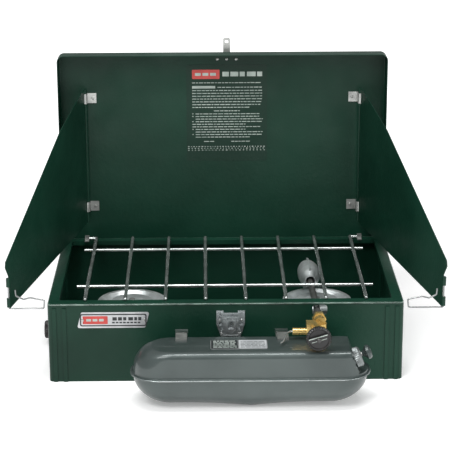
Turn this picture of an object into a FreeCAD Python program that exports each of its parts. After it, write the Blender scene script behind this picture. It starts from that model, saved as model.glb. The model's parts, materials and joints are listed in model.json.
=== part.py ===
"""Two-burner liquid-fuel camp stove, open for cooking.

Frame: millimetres, +X right, +Y to the back, +Z up.  The origin is the centre
of the case's flat base.  Every driving size is a cell of the sheet "Dims".
"""
import FreeCAD, Part
import math
import os

import Sketcher

Vector = FreeCAD.Vector
doc = FreeCAD.newDocument("camp_stove")
sheet = doc.addObject("Spreadsheet::Sheet", "Dims")

# ---------------------------------------------------------------- dimensions
DIMENSIONS = {
    # case
    "case_width": 450, "case_depth": 270, "case_height": 105, "case_sheet": 1,
    "case_corner": 6, "rim_lip": 14, "rim_drop": 6, "rim_round": 2.5,
    "bead_width": 5, "bead_proud": 1.5, "bead_outer_inset": 8.5, "bead_inner_inset": 21,
    "fit_gap": 0.3, "running_gap": 0.08,
    # lid
    "lid_clearance": 0.5, "lid_depth": 25, "lid_sheet": 1, "lid_overlap": 13,
    "lid_corner": 9, "lid_wall_gap": 1.5, "lid_bend": 3,
    "hinge_spread": 130, "hinge_leaf_width": 38, "hinge_leaf_thick": 1,
    "hinge_pin_dia": 2.4, "hinge_barrel_dia": 4.8, "hinge_drop": 4,
    "label_width": 112, "label_height": 137, "label_thick": 0.3, "label_drop": 18,
    "strap_width": 9.6, "strap_thick": 1.2, "strap_reach": 19, "strap_grip": 24,
    "strap_shift": 6, "strap_rivet_pitch": 13, "strap_rivet_drop": 10.5,
    # baffles
    "baffle_hinge_x": 190, "baffle_gap_left": 5, "baffle_gap_right": 11,
    "baffle_splay": 13.7, "baffle_sheet": 0.8, "baffle_reach": 332, "baffle_peak": 340,
    "baffle_low": 5.5, "baffle_heel": 18, "baffle_knuckle_top": 46, "baffle_front": 62,
    "baffle_front_top": 69, "baffle_shoulder_reach": 114, "baffle_shoulder": 178,
    "baffle_top": 213, "rod_dia": 3, "roll_wall": 1, "clip_width": 20, "clip_height": 14,
    "clip_plate": 1, "clip_low": 33, "clip_high": 189, "hem_dia": 5, "hem_notch_low": 20,
    "hem_notch_high": 35, "wire_dia": 2, "wire_reach": 43, "wire_rise": 10.5, "wire_hook": 8,
    # grate
    "grate_wire_dia": 4.5, "grate_pitch": 50.8, "grate_bars": 8, "grate_front_inset": 11,
    "grate_rear_inset": 9, "grate_cross_half": 192, "grate_cross_front": 64,
    "grate_cross_rear": 86, "grate_pin_reach": 10, "grate_clip_width": 6, "grate_clip_wall": 1.2,
    # burners
    "burner_x": 124, "burner_dia": 92, "burner_top": 60, "bowl_depth": 24, "bowl_sheet": 0.8,
    "bowl_floor_dia": 44, "ring_outer_dia": 56, "ring_inner_dia": 40, "ring_count": 5,
    "ring_thick": 1.6, "ring_gap": 0.5, "cap_dia": 60, "cap_thick": 1, "screw_dia": 5,
    "stand_length": 40, "stand_width": 50, "stand_sheet": 1.2, "stand_foot": 12,
    # manifold and mixing chamber
    "tube_dia": 14, "downpipe_dia": 12.6, "tube_wall": 1, "manifold_z": 20, "bulb_dia": 30,
    "bulb_length": 88,
    "bulb_wall": 0.9, "bulb_y": 8, "bulb_z": 83, "bulb_mouth_dia": 10.4, "bulb_neck_dia": 14,
    "downpipe_from_mouth": 60, "seam_proud": 2, "seam_thick": 0.9,
    # auxiliary burner valve
    "aux_block": 26, "aux_stem_dia": 5, "aux_hole_dia": 12, "aux_knob_dia": 24,
    "aux_knob_thick": 12, "aux_stem_proud": 14,
    # fuel tank
    "tank_x": 29, "tank_length": 288, "tank_depth": 68, "tank_stand_off": 34,
    "tank_seam_z": 42.8, "tank_upper": 33, "tank_lower": 37.8, "tank_sheet": 0.9,
    "tank_corner": 31, "tank_top_edge": 12, "tank_base_edge": 27, "tank_flange": 3.5,
    "shoulder_inset": 23,
    "shoulder_run": 11.8, "shoulder_rise": 29, "shoulder_ledge": 5, "sump_spread": 230,
    "sump_width": 62, "sump_floor": 16, "sump_depth": 4.6, "sump_length": 26,
    "hanger_x_left": -56, "hanger_x_right": 70, "hanger_width": 14, "hanger_thick": 2,
    "hanger_tongue": 9, "slot_height": 9, "slot_z": 61, "slot_side_gap": 1,
    "tank_label_width": 70, "tank_label_depth": 30, "tank_label_thick": 0.5,
    "tank_label_x": 15,
    # control valve and generator
    "valve_x": 115.5, "stem_offset": 4.5, "valve_stand_off": 52, "valve_dia": 18, "valve_height": 21,
    "generator_z": 96, "generator_tilt": 4.7, "generator_dia": 8.4, "generator_bore": 5,
    "generator_engage": 18, "generator_hole_width": 19, "generator_hole_height": 14,
    "nut_flats": 15, "nut_thick": 9, "stem_dia": 5, "stem_length": 39, "packing_flats": 12,
    "packing_thick": 8, "knob_dia": 32, "knob_thick": 11, "knob_z": 93.5,
    "valve_block": 17,
    "lever_dia": 2.4, "lever_boss_dia": 9, "lever_boss_length": 17, "lever_z": 86,
    "pickup_dia": 6,
    # filler and pump, on the sloped right-hand shoulder of the tank
    "filler_from_front": 17, "filler_up": 16.5, "pump_from_front": 39, "pump_up": 9.5,
    "neck_dia": 20, "neck_height": 5, "filler_cap_dia": 25, "filler_cap_height": 10,
    "knurls": 24, "barrel_dia": 15.5, "barrel_wall": 0.9, "barrel_length": 96,
    "pump_rod_dia": 6, "pump_stroke": 58, "pump_cup_length": 9, "pump_knob_dia": 18,
    "pump_knob_thick": 5, "pump_knob_stand_off": 2, "pump_cap_dia": 18, "pump_cap_thick": 3,
    # nameplate and latch on the front of the case
    "plate_width": 86, "plate_height": 21, "plate_slant": 5.5, "plate_thick": 0.8,
    "plate_x": -142, "plate_z": 73, "latch_x": 6, "latch_width": 36, "latch_height": 36,
    "latch_z": 59, "latch_sheet": 1.2, "latch_depth": 7, "latch_pin_dia": 3,
    "rivet_dia": 4, "rivet_head": 1.2,
}


class Size:
    """A number together with the sheet expression that gives it."""

    def __init__(self, value, text):
        self.value = float(value)
        self.text = text

    def joined(self, sign, other, result):
        return Size(result, "(" + self.text + sign + size(other).text + ")")

    def __add__(self, other):
        return self.joined(" + ", other, self.value + size(other).value)

    def __sub__(self, other):
        return self.joined(" - ", other, self.value - size(other).value)

    def __mul__(self, other):
        return self.joined(" * ", other, self.value * size(other).value)

    def __truediv__(self, other):
        return self.joined(" / ", other, self.value / size(other).value)

    def __radd__(self, other):
        return size(other) + self

    def __rsub__(self, other):
        return size(other) - self

    def __rmul__(self, other):
        return size(other) * self

    def __neg__(self):
        return size(0) - self

    def __float__(self):
        return self.value


def size(value):
    """Wrap a plain number as a Size."""
    if isinstance(value, Size):
        return value
    return Size(value, "(%.9g)" % value)


class Dims:
    """The sheet's cells as Sizes, by alias."""


for row, (alias, number) in enumerate(DIMENSIONS.items(), start=1):
    sheet.set("A%d" % row, alias)
    sheet.set("B%d" % row, str(number))
    sheet.setAlias("B%d" % row, alias)
doc.recompute()
for alias in DIMENSIONS:
    setattr(Dims, alias, Size(getattr(sheet, alias), "Dims." + alias))
D = Dims

nodes = {}


def node(obj, label):
    """Name a finished piece."""
    obj.Label = label
    nodes[label] = obj
    return obj


# ------------------------------------------------------- building by booleans
def bind(obj, prop, value):
    """Tie a property to the sheet."""
    obj.setExpression(prop, size(value).text)


def place(obj, base, rotation=None):
    """Put an object at a point whose coordinates are Sizes."""
    numbers = Vector(*[float(part) for part in base])
    obj.Placement = FreeCAD.Placement(numbers, rotation or FreeCAD.Rotation())
    for axis, part in zip("xyz", base):
        bind(obj, "Placement.Base." + axis, part)
    return obj


def box(x, y, z):
    """A block between pairs of limits along each axis."""
    obj = doc.addObject("Part::Box", "Block")
    for prop, (low, high) in zip(("Length", "Width", "Height"), (x, y, z)):
        bind(obj, prop, size(high) - low)
    return place(obj, (x[0], y[0], z[0]))


def rod(base, direction, dia, length):
    """A round bar from a point along a direction."""
    obj = doc.addObject("Part::Cylinder", "Rod")
    bind(obj, "Radius", size(dia) / 2)
    bind(obj, "Height", length)
    return place(obj, base, FreeCAD.Rotation(Vector(0, 0, 1), Vector(*direction)))


def ball(centre, dia):
    """A sphere."""
    obj = doc.addObject("Part::Sphere", "Ball")
    bind(obj, "Radius", size(dia) / 2)
    return place(obj, centre)


def fuse(*pieces):
    """One piece from several that touch."""
    obj = doc.addObject("Part::MultiFuse", "Fuse")
    obj.Shapes = list(pieces)
    obj.Refine = True
    return obj


def cut(base, *tools):
    """A piece less the tools."""
    obj = doc.addObject("Part::Cut", "Cut")
    obj.Base = base
    obj.Tool = tools[0] if len(tools) == 1 else fuse(*tools)
    return obj


def group(*pieces):
    """Like pieces that share one node as separate solids."""
    obj = doc.addObject("Part::Compound", "Group")
    obj.Links = list(pieces)
    return obj


def common(first, second):
    """What two pieces share."""
    obj = doc.addObject("Part::Common", "Common")
    obj.Base = first
    obj.Tool = second
    return obj


def rounded(base, radius, chosen):
    """Fillet the edges that the test picks out."""
    doc.recompute()
    obj = doc.addObject("Part::Fillet", "Rounded")
    obj.Base = base
    picks = enumerate(base.Shape.Edges, start=1)
    obj.Edges = [(index, float(radius), float(radius)) for index, edge in picks if chosen(edge)]
    return obj


# --------------------------------------------------------- building by sketch
def sketch_on(body, plane):
    """A sketch on one of the body's own origin planes."""
    support = [item for item in body.Origin.OriginFeatures if item.Role == plane][0]
    sketch = body.newObject("Sketcher::SketchObject", "Sketch")
    sketch.AttachmentSupport = (support, [""])
    sketch.MapMode = "FlatFace"
    return sketch


def pin_point(sketch, index, end, point):
    """Hold one end of a line at a point measured from the sketch's origin."""
    for kind, own_axis, part in (("DistanceX", -2, point[0]), ("DistanceY", -1, point[1])):
        part = size(part)
        if abs(part.value) < 1e-9:
            sketch.addConstraint(Sketcher.Constraint("PointOnObject", index, end, own_axis))
            continue
        number = sketch.addConstraint(
            Sketcher.Constraint(kind, -1, 1, index, end, part.value))
        sketch.setExpression("Constraints[%d]" % number, part.text)


def polygon(sketch, points):
    """A closed outline of straight lines through the points."""
    count = len(points)
    spots = [Vector(float(u), float(v), 0) for u, v in points]
    first = sketch.GeometryCount
    for index in range(count):
        sketch.addGeometry(Part.LineSegment(spots[index], spots[(index + 1) % count]), False)
    for index in range(count):
        following = first + (index + 1) % count
        sketch.addConstraint(Sketcher.Constraint("Coincident", first + index, 2, following, 1))
    for index, point in enumerate(points):
        pin_point(sketch, first + index, 1, point)


def padded(plane, points, length, back=False):
    """A prism on an outline."""
    body = doc.addObject("PartDesign::Body", "Body")
    sketch = sketch_on(body, plane)
    polygon(sketch, points)
    pad = body.newObject("PartDesign::Pad", "Pad")
    pad.Profile = sketch
    bind(pad, "Length", length)
    pad.Reversed = back
    return body


def rounded_prism(plane, u, v, radius, length, back=False):
    """A prism on a rectangle with round corners."""
    body = doc.addObject("PartDesign::Body", "Body")
    sketch = sketch_on(body, plane)
    (u0, u1), (v0, v1) = u, v
    a, b, c, d, r = [float(part) for part in (u0, u1, v0, v1, radius)]
    corners = [(b - r, c + r, 270), (b - r, d - r, 0), (a + r, d - r, 90), (a + r, c + r, 180)]
    sides = [((a + r, c), (b - r, c)), ((b, c + r), (b, d - r)),
             ((b - r, d), (a + r, d)), ((a, d - r), (a, c + r))]
    for (start, end), (x, y, angle) in zip(sides, corners):
        sketch.addGeometry(Part.LineSegment(Vector(*start, 0), Vector(*end, 0)), False)
        circle = Part.Circle(Vector(x, y, 0), Vector(0, 0, 1), r)
        begin = math.radians(angle)
        sketch.addGeometry(Part.ArcOfCircle(circle, begin, begin + math.pi / 2), False)
    for index in range(8):
        sketch.addConstraint(Sketcher.Constraint("Tangent", index, 2, (index + 1) % 8, 1))
    for index, kind in ((0, "Horizontal"), (2, "Vertical"), (4, "Horizontal"), (6, "Vertical")):
        sketch.addConstraint(Sketcher.Constraint(kind, index))
    for index in (3, 5, 7):
        sketch.addConstraint(Sketcher.Constraint("Equal", 1, index))
    number = sketch.addConstraint(Sketcher.Constraint("Radius", 1, r))
    sketch.setExpression("Constraints[%d]" % number, size(radius).text)
    for index, kind, value in ((0, "DistanceY", v0), (2, "DistanceX", u1),
                               (4, "DistanceY", v1), (6, "DistanceX", u0)):
        number = sketch.addConstraint(Sketcher.Constraint(kind, -1, 1, index, 1, float(value)))
        sketch.setExpression("Constraints[%d]" % number, size(value).text)
    pad = body.newObject("PartDesign::Pad", "Pad")
    pad.Profile = sketch
    bind(pad, "Length", length)
    pad.Reversed = back
    return body


def turned(points, base, direction=(0, 0, 1)):
    """A turned piece: points are radius and height, about the given axis."""
    body = doc.addObject("PartDesign::Body", "Body")
    sketch = sketch_on(body, "XZ_Plane")
    polygon(sketch, points)
    revolution = body.newObject("PartDesign::Revolution", "Revolution")
    revolution.Profile = sketch
    revolution.ReferenceAxis = (sketch, ["V_Axis"])
    revolution.Angle = 360
    return place(body, base, FreeCAD.Rotation(Vector(0, 0, 1), Vector(*direction)))


def hexagon(flats, thick, base, direction):
    """A hexagonal prism along a direction."""
    radius = size(flats) / math.sqrt(3)
    corners = [(radius * math.cos(math.radians(60 * step)),
                radius * math.sin(math.radians(60 * step))) for step in range(6)]
    body = padded("XY_Plane", corners, thick)
    return place(body, base, FreeCAD.Rotation(Vector(0, 0, 1), Vector(*direction)))


def rivet(x, y, z, direction, shank):
    """A domed rivet whose head sits on the given point and whose shank goes into the sheet."""
    half = D.rivet_dia / 2
    head = [(0, -shank), (half * 0.55, -shank), (half * 0.55, 0), (half, 0),
            (half * 0.8, D.rivet_head * 0.7), (half * 0.35, D.rivet_head), (0, D.rivet_head)]
    return turned(head, (x, y, z), direction)


def bent_wire(points, dia, bend):
    """A round wire along straight runs joined by equal bends."""
    edges = []
    start = points[0]
    for index in range(1, len(points) - 1):
        before, corner, after = points[index - 1], points[index], points[index + 1]
        into = (corner - before).normalize()
        away = (after - corner).normalize()
        turn = into.getAngle(away)
        setback = bend * math.tan(turn / 2)
        begin = corner - into * setback
        finish = corner + away * setback
        middle = corner + (away - into).normalize() * bend * (1 / math.cos(turn / 2) - 1)
        edges.append(Part.LineSegment(start, begin).toShape())
        edges.append(Part.Arc(begin, middle, finish).toShape())
        start = finish
    edges.append(Part.LineSegment(start, points[-1]).toShape())
    path = Part.Wire(edges)
    first = (points[1] - points[0]).normalize()
    circle = Part.Wire([Part.Circle(points[0], first, dia / 2).toShape()])
    return path.makePipeShell([circle], True, False, 2)


def featured(shape):
    """Carry a shape made with Part's own functions."""
    obj = doc.addObject("Part::Feature", "Shaped")
    obj.Shape = shape
    return obj


# ----------------------------------------------------------------- the case
front = -(D.case_depth / 2)
rear = D.case_depth / 2
half_width = D.case_width / 2
rim = D.case_height


def frame_prism(inset, radius, low, high):
    """A rounded block with the case's outline less an inset."""
    body = rounded_prism("XY_Plane", (-half_width + inset, half_width - inset),
                         (front + inset, rear - inset), radius, size(high) - low)
    return place(body, (0, 0, low))


def make_case():
    """The folded sheet-steel tray, with its lip, corner beads and openings."""
    sheet_t = D.case_sheet
    outer = rounded(frame_prism(0, D.case_corner, 0, rim), D.rim_round,
                    lambda edge: edge.BoundBox.ZMin > float(rim) - 0.01)
    cavity = frame_prism(sheet_t, D.case_corner - sheet_t, sheet_t, rim - sheet_t - 0.6)
    opening = frame_prism(D.rim_lip, 4, rim - 10, rim + 5)
    drop = cut(frame_prism(D.rim_lip - sheet_t, 4 + sheet_t, rim - D.rim_drop, rim - sheet_t), opening)
    beads = []
    for side in (-1, 1):
        for inset in (D.bead_outer_inset, D.bead_inner_inset):
            middle = (half_width - inset) * side
            across = (middle - D.bead_width / 2, middle + D.bead_width / 2)
            beads.append(box(across, (front - D.bead_proud, front + sheet_t / 2), (0, rim - 6)))
            beads.append(box(across, (rear - sheet_t / 2, rear + D.bead_proud / 2), (0, rim - 24)))
    tray = fuse(cut(outer, cavity, opening), drop, *beads)
    through = (front - 5, front + 5)
    gap = D.slot_side_gap
    holes = [box((x - D.hanger_width / 2 - gap, x + D.hanger_width / 2 + gap), through,
                 (D.slot_z, D.slot_z + D.slot_height))
             for x in (D.hanger_x_left, D.hanger_x_right)]
    generator_at_front = D.bulb_z + (D.bulb_y - front) * math.tan(math.radians(float(D.generator_tilt)))
    middle = D.valve_x + 3
    hole = rounded_prism("XZ_Plane", (middle - D.generator_hole_width / 2,
                                      middle + D.generator_hole_width / 2),
                         (generator_at_front - D.generator_hole_height / 2,
                          generator_at_front + D.generator_hole_height / 2), 4, 10)
    holes.append(place(hole, (0, front + 5, 0)))
    holes.append(rod((-half_width - 5, 0, D.manifold_z), (1, 0, 0), D.aux_hole_dia, 10))
    for side in (-1, 1):
        holes.append(box((half_width * side - 5, half_width * side + 5), (front + 14, front + 18),
                         (rim - 22, rim - 8)))
    node(cut(tray, *holes), "case_pan")


# ------------------------------------------------------------------ the lid
lid_half = half_width + D.lid_clearance + D.lid_sheet
lid_front = rear + D.lid_wall_gap
lid_back = lid_front + D.lid_depth
lid_low = rim - D.lid_overlap
lid_length = D.case_depth + 2 * (D.lid_clearance + D.lid_sheet)
lid_high = lid_low + lid_length
panel_y = lid_back - D.lid_sheet
hinge_y = rear + D.hinge_leaf_thick / 2 + D.hinge_barrel_dia / 2
hinge_z = lid_low - D.hinge_drop


def make_lid():
    """The shallow lid, standing upright behind the case."""
    outer = rounded_prism("XZ_Plane", (-lid_half, lid_half), (lid_low, lid_high),
                          D.lid_corner, D.lid_depth)
    outer = rounded(place(outer, (0, lid_back, 0)), D.lid_bend,
                    lambda edge: edge.BoundBox.YMin > float(lid_back) - 0.01)
    inset = D.lid_sheet
    inner = rounded_prism("XZ_Plane", (-lid_half + inset, lid_half - inset),
                          (lid_low + inset, lid_high - inset), D.lid_corner - inset,
                          D.lid_depth)
    inner = rounded(place(inner, (0, panel_y, 0)), D.lid_bend - inset,
                    lambda edge: edge.BoundBox.YMin > float(panel_y) - 0.01)
    node(cut(outer, inner), "lid_pan")


def make_lid_hinges():
    """Two butt hinges: leaves on the case and on the lid, and a pin through each.

    Returns the rivets of the case leaves.
    """
    radius = D.hinge_barrel_dia / 2
    width = D.hinge_leaf_width
    knuckle = width / 3
    gap = 0.25
    bore = D.hinge_pin_dia + D.running_gap
    case_leaves, lid_leaves, pins, rivets = [], [], [], []
    for side in (-1, 1):
        left = D.hinge_spread * side - width / 2
        right = left + width
        leaf = box((left, right), (rear, rear + D.hinge_leaf_thick), (hinge_z - 20, hinge_z))
        barrels = [rod((at, hinge_y, hinge_z), (1, 0, 0), D.hinge_barrel_dia, knuckle - gap)
                   for at in (left, right - knuckle + gap)]
        room = box((left + knuckle - gap, right - knuckle + gap), (rear - 1, rear + 10),
                   (hinge_z - radius - 1, hinge_z + radius + 1))
        hole = rod((left - 1, hinge_y, hinge_z), (1, 0, 0), bore, width + 2)
        case_leaves.append(cut(fuse(cut(leaf, room), *barrels), hole))
        middle = (left + knuckle + gap, right - knuckle - gap)
        plate = box(middle, (hinge_y, lid_back - D.lid_bend - 1),
                    (lid_low - D.hinge_leaf_thick, lid_low))
        web = box(middle, (hinge_y + radius - D.hinge_leaf_thick, hinge_y + radius),
                  (hinge_z, lid_low))
        barrel = rod((middle[0], hinge_y, hinge_z), (1, 0, 0), D.hinge_barrel_dia,
                     middle[1] - middle[0])
        hole = rod((left - 1, hinge_y, hinge_z), (1, 0, 0), bore, width + 2)
        lid_leaves.append(cut(fuse(plate, web, barrel), hole))
        pins.append(rod((left - 1, hinge_y, hinge_z), (1, 0, 0), D.hinge_pin_dia, width + 2))
        for across in (-1, 1):
            x = D.hinge_spread * side + width * 0.3 * across
            rivets.append(rivet(x, rear + D.hinge_leaf_thick, hinge_z - 13, (0, 1, 0), 0.5))
    node(group(*case_leaves), "case_hinge_leaves")
    node(group(*lid_leaves), "lid_hinge_leaves")
    node(group(*pins), "lid_hinge_pins")
    return rivets


def make_lid_fittings():
    """Instruction label and latch strap.  Returns the strap's rivets."""
    top = lid_high - D.label_drop
    centre = D.strap_shift
    label = rounded_prism("XZ_Plane", (centre - D.label_width / 2, centre + D.label_width / 2),
                          (top - D.label_height, top), 3, D.label_thick)
    node(place(label, (0, panel_y, 0)), "lid_label")
    rivet_z = lid_high - D.strap_rivet_drop
    low = lid_high - D.strap_grip
    strap = rounded_prism("XZ_Plane", (centre - D.strap_width / 2, centre + D.strap_width / 2),
                          (low, lid_high + D.strap_reach), 2, D.strap_thick)
    strap = place(strap, (0, lid_back + D.strap_thick, 0))
    wing = rounded_prism("XZ_Plane", (centre - D.strap_rivet_pitch - 5,
                                      centre + D.strap_rivet_pitch + 5),
                         (rivet_z - 6, rivet_z + 6), 3, D.strap_thick)
    wing = place(wing, (0, lid_back + D.strap_thick, 0))
    slot = rounded_prism("XZ_Plane", (centre - D.strap_width / 4, centre + D.strap_width / 4),
                         (lid_high + D.strap_reach - 7, lid_high + D.strap_reach - 3), 1, 6)
    node(cut(fuse(strap, wing), place(slot, (0, lid_back + 3, 0))), "lid_strap")
    return [rivet(centre + D.strap_rivet_pitch * step, panel_y, rivet_z, (0, -1, 0), 0.6)
            for step in (-1, 0, 1)]


# ------------------------------------------------------------------ baffles
splay = math.radians(float(D.baffle_splay))
baffle_gaps = {-1: D.baffle_gap_left, 1: D.baffle_gap_right}
names = {-1: "left", 1: "right"}
rod_low = rim + D.baffle_heel + 2
rod_high = rim + D.baffle_top - 4
clip_levels = [(rim + level, rim + level + D.clip_height) for level in (D.clip_low, D.clip_high)]


def baffle_placement(side):
    """Where the baffle's own frame sits: its X runs along the open sheet, its Z is up."""
    axis_y = panel_y - baffle_gaps[side]
    angle = -90 - math.degrees(splay) if side < 0 else -90 + math.degrees(splay)
    return (D.baffle_hinge_x * side, axis_y, 0), FreeCAD.Rotation(Vector(0, 0, 1), angle)


def make_baffle(side):
    """A folding wind baffle with a rolled hinge edge and a hem that holds its wire."""
    half_sheet = D.baffle_sheet / 2
    roll_outer = D.rod_dia + 2 * D.running_gap + 2 * D.roll_wall
    hem = D.baffle_reach
    hem_edge = hem - D.hem_dia / 2 + 0.5
    outline = [(0, rim + D.baffle_heel), (hem_edge, rim + D.baffle_low),
               (hem_edge, rim + D.baffle_knuckle_top + 2), (D.baffle_peak, rim + D.baffle_front),
               (D.baffle_peak - 2, rim + D.baffle_front_top),
               (D.baffle_shoulder_reach, rim + D.baffle_shoulder), (0, rim + D.baffle_top)]
    panel = padded("XZ_Plane", outline, D.baffle_sheet)
    panel = place(panel, (0, half_sheet, 0))
    notch_reach = roll_outer / 2 + 3
    notches = [box((-5, notch_reach), (-5, 5), (low - D.fit_gap * 2, high + D.fit_gap * 2))
               for low, high in clip_levels]
    low_end = clip_levels[0][1] + D.fit_gap * 2
    high_end = clip_levels[1][0] - D.fit_gap * 2
    roll = rod((0, 0, low_end), (0, 0, 1), roll_outer, high_end - low_end)
    bore = rod((0, 0, 0), (0, 0, 1), D.rod_dia + 2 * D.running_gap, lid_high)
    ends = [box((-5, notch_reach), (-5, 5), limits)
            for limits in ((0, clip_levels[0][0]), (clip_levels[1][1], lid_high))]
    sheet_part = cut(panel, *(notches + ends))
    hem_low = rim + D.baffle_low + 3
    hem_high = rim + D.baffle_knuckle_top
    gap_low = rim + D.hem_notch_low
    gap_high = rim + D.hem_notch_high
    knuckles = [rod((hem, 0, hem_low), (0, 0, 1), D.hem_dia, gap_low - hem_low),
                rod((hem, 0, gap_high), (0, 0, 1), D.hem_dia, hem_high - gap_high)]
    eye = rod((hem, 0, lid_low), (0, 0, 1), D.wire_dia + 2 * D.running_gap, hem_high - lid_low)
    window = box((hem - 4, hem + 6), (-5, 5), (gap_low, gap_high))
    under = box((hem - 4, hem + 6), (-5, 5), (lid_low, hem_low))
    body = cut(fuse(cut(sheet_part, window, under), roll, *knuckles), bore, eye)
    base, rotation = baffle_placement(side)
    node(place(body, base, rotation), "baffle_" + names[side])


def make_baffle_clips(side):
    """Two clips riveted to the lid, and the rod that they hold."""
    base, _rotation = baffle_placement(side)
    x, y = base[0], base[1]
    radius = D.rod_dia / 2 + 1.3
    clips, rivets = [], []
    for low, high in clip_levels:
        inner = (D.baffle_hinge_x - D.clip_width + 5) * side
        outer = (D.baffle_hinge_x + 5) * side
        across = (inner, outer) if side > 0 else (outer, inner)
        plate = box(across, (panel_y - D.clip_plate, panel_y), (low, high))
        web = box((x - radius, x + radius), (y, panel_y - D.clip_plate / 2), (low, high))
        barrel = rod((x, y, low), (0, 0, 1), radius * 2, high - low)
        bore = rod((x, y, low - 1), (0, 0, 1), D.rod_dia, high - low + 2)
        clips.append(cut(fuse(plate, web, barrel), bore))
        rivets.append(rivet((D.baffle_hinge_x - 10) * side, panel_y - D.clip_plate,
                            (low + high) / 2, (0, -1, 0), 0.6))
    hinge_rod = rod((x, y, rod_low), (0, 0, 1), D.rod_dia, rod_high - rod_low)
    return clips, hinge_rod, rivets


def make_baffle_wire(side):
    """The wire hook that swings in the baffle's hem."""
    base, rotation = baffle_placement(side)
    base = Vector(*[float(part) for part in base])
    foot = base + rotation.multVec(Vector(float(D.baffle_reach), 0, 0))
    inward = Vector(-side, 0, 0)
    low = float(rim + D.baffle_low + D.wire_dia / 2)
    reach, rise = float(D.wire_reach), float(D.wire_rise)

    def spot(across, up):
        return Vector(foot.x, foot.y, low + up) + inward * across

    rod_top = float(rim + D.baffle_knuckle_top) - low - 1
    points = [spot(0, rod_top), spot(0, 0), spot(reach, 0), spot(reach + 1, rise),
              spot(reach * 0.62, rise + 3.5), spot(reach * 0.42, rise + 1.5),
              spot(9, rise + 6), spot(8.5, rise + 6 + float(D.wire_hook))]
    wire = featured(bent_wire(points, float(D.wire_dia), 1.6))
    node(wire, "baffle_wire_" + names[side])


# -------------------------------------------------------------------- grate
grate_z = rim + D.grate_wire_dia / 2 + 0.05
grate_front = front + D.grate_front_inset
grate_rear = rear - D.grate_rear_inset


def make_grate():
    """Welded wire grate that lifts about its rear corners."""
    dia = D.grate_wire_dia
    half_count = (float(D.grate_bars) - 1) / 2
    bars = []
    for index in range(int(float(D.grate_bars))):
        x = D.grate_pitch * (index - half_count)
        bars.append(rod((x, grate_front, grate_z), (0, 1, 0), dia, grate_rear - grate_front))
        bars.append(ball((x, grate_front, grate_z), dia))
        if index not in (0, int(float(D.grate_bars)) - 1):
            bars.append(ball((x, grate_rear, grate_z), dia))
    for side in (-1, 1):
        x = D.grate_pitch * half_count * side
        bars.append(rod((x, grate_rear, grate_z), (side, 0, 0), dia,
                        D.grate_pin_reach + D.grate_clip_width))
        bars.append(ball((x, grate_rear, grate_z), dia))
    for y in (-D.grate_cross_front, D.grate_cross_rear):
        bars.append(rod((-D.grate_cross_half, y, grate_z - dia + 0.3), (1, 0, 0), dia,
                        D.grate_cross_half * 2))
    node(fuse(*bars), "grate")


def make_grate_clips():
    """Saddle clips on the rear lip that hold the grate's two pins."""
    half_count = (float(D.grate_bars) - 1) / 2
    radius = D.grate_wire_dia / 2 + D.running_gap * 2
    wall = D.grate_clip_wall
    clips = []
    for side in (-1, 1):
        start = (D.grate_pitch * half_count + D.grate_pin_reach) * side
        across = (start, start + D.grate_clip_width)
        if side < 0:
            across = (start - D.grate_clip_width, start)
        saddle = box(across, (grate_rear - radius - wall, grate_rear + radius + wall),
                     (rim, grate_z + radius + wall))
        foot = box(across, (grate_rear - radius - wall - 5, grate_rear - radius),
                   (rim, rim + wall))
        groove = rod((across[0] - 1, grate_rear, grate_z), (1, 0, 0), radius * 2,
                     D.grate_clip_width + 2)
        slot = box((across[0] - 1, across[1] + 1), (grate_rear - radius, grate_rear + radius),
                   (rim - 1, grate_z))
        clips.append(cut(fuse(saddle, foot), groove, slot))
    node(group(*clips), "grate_clips")


# ------------------------------------------------------------------ burners
bowl_floor = D.burner_top - D.bowl_depth


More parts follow.
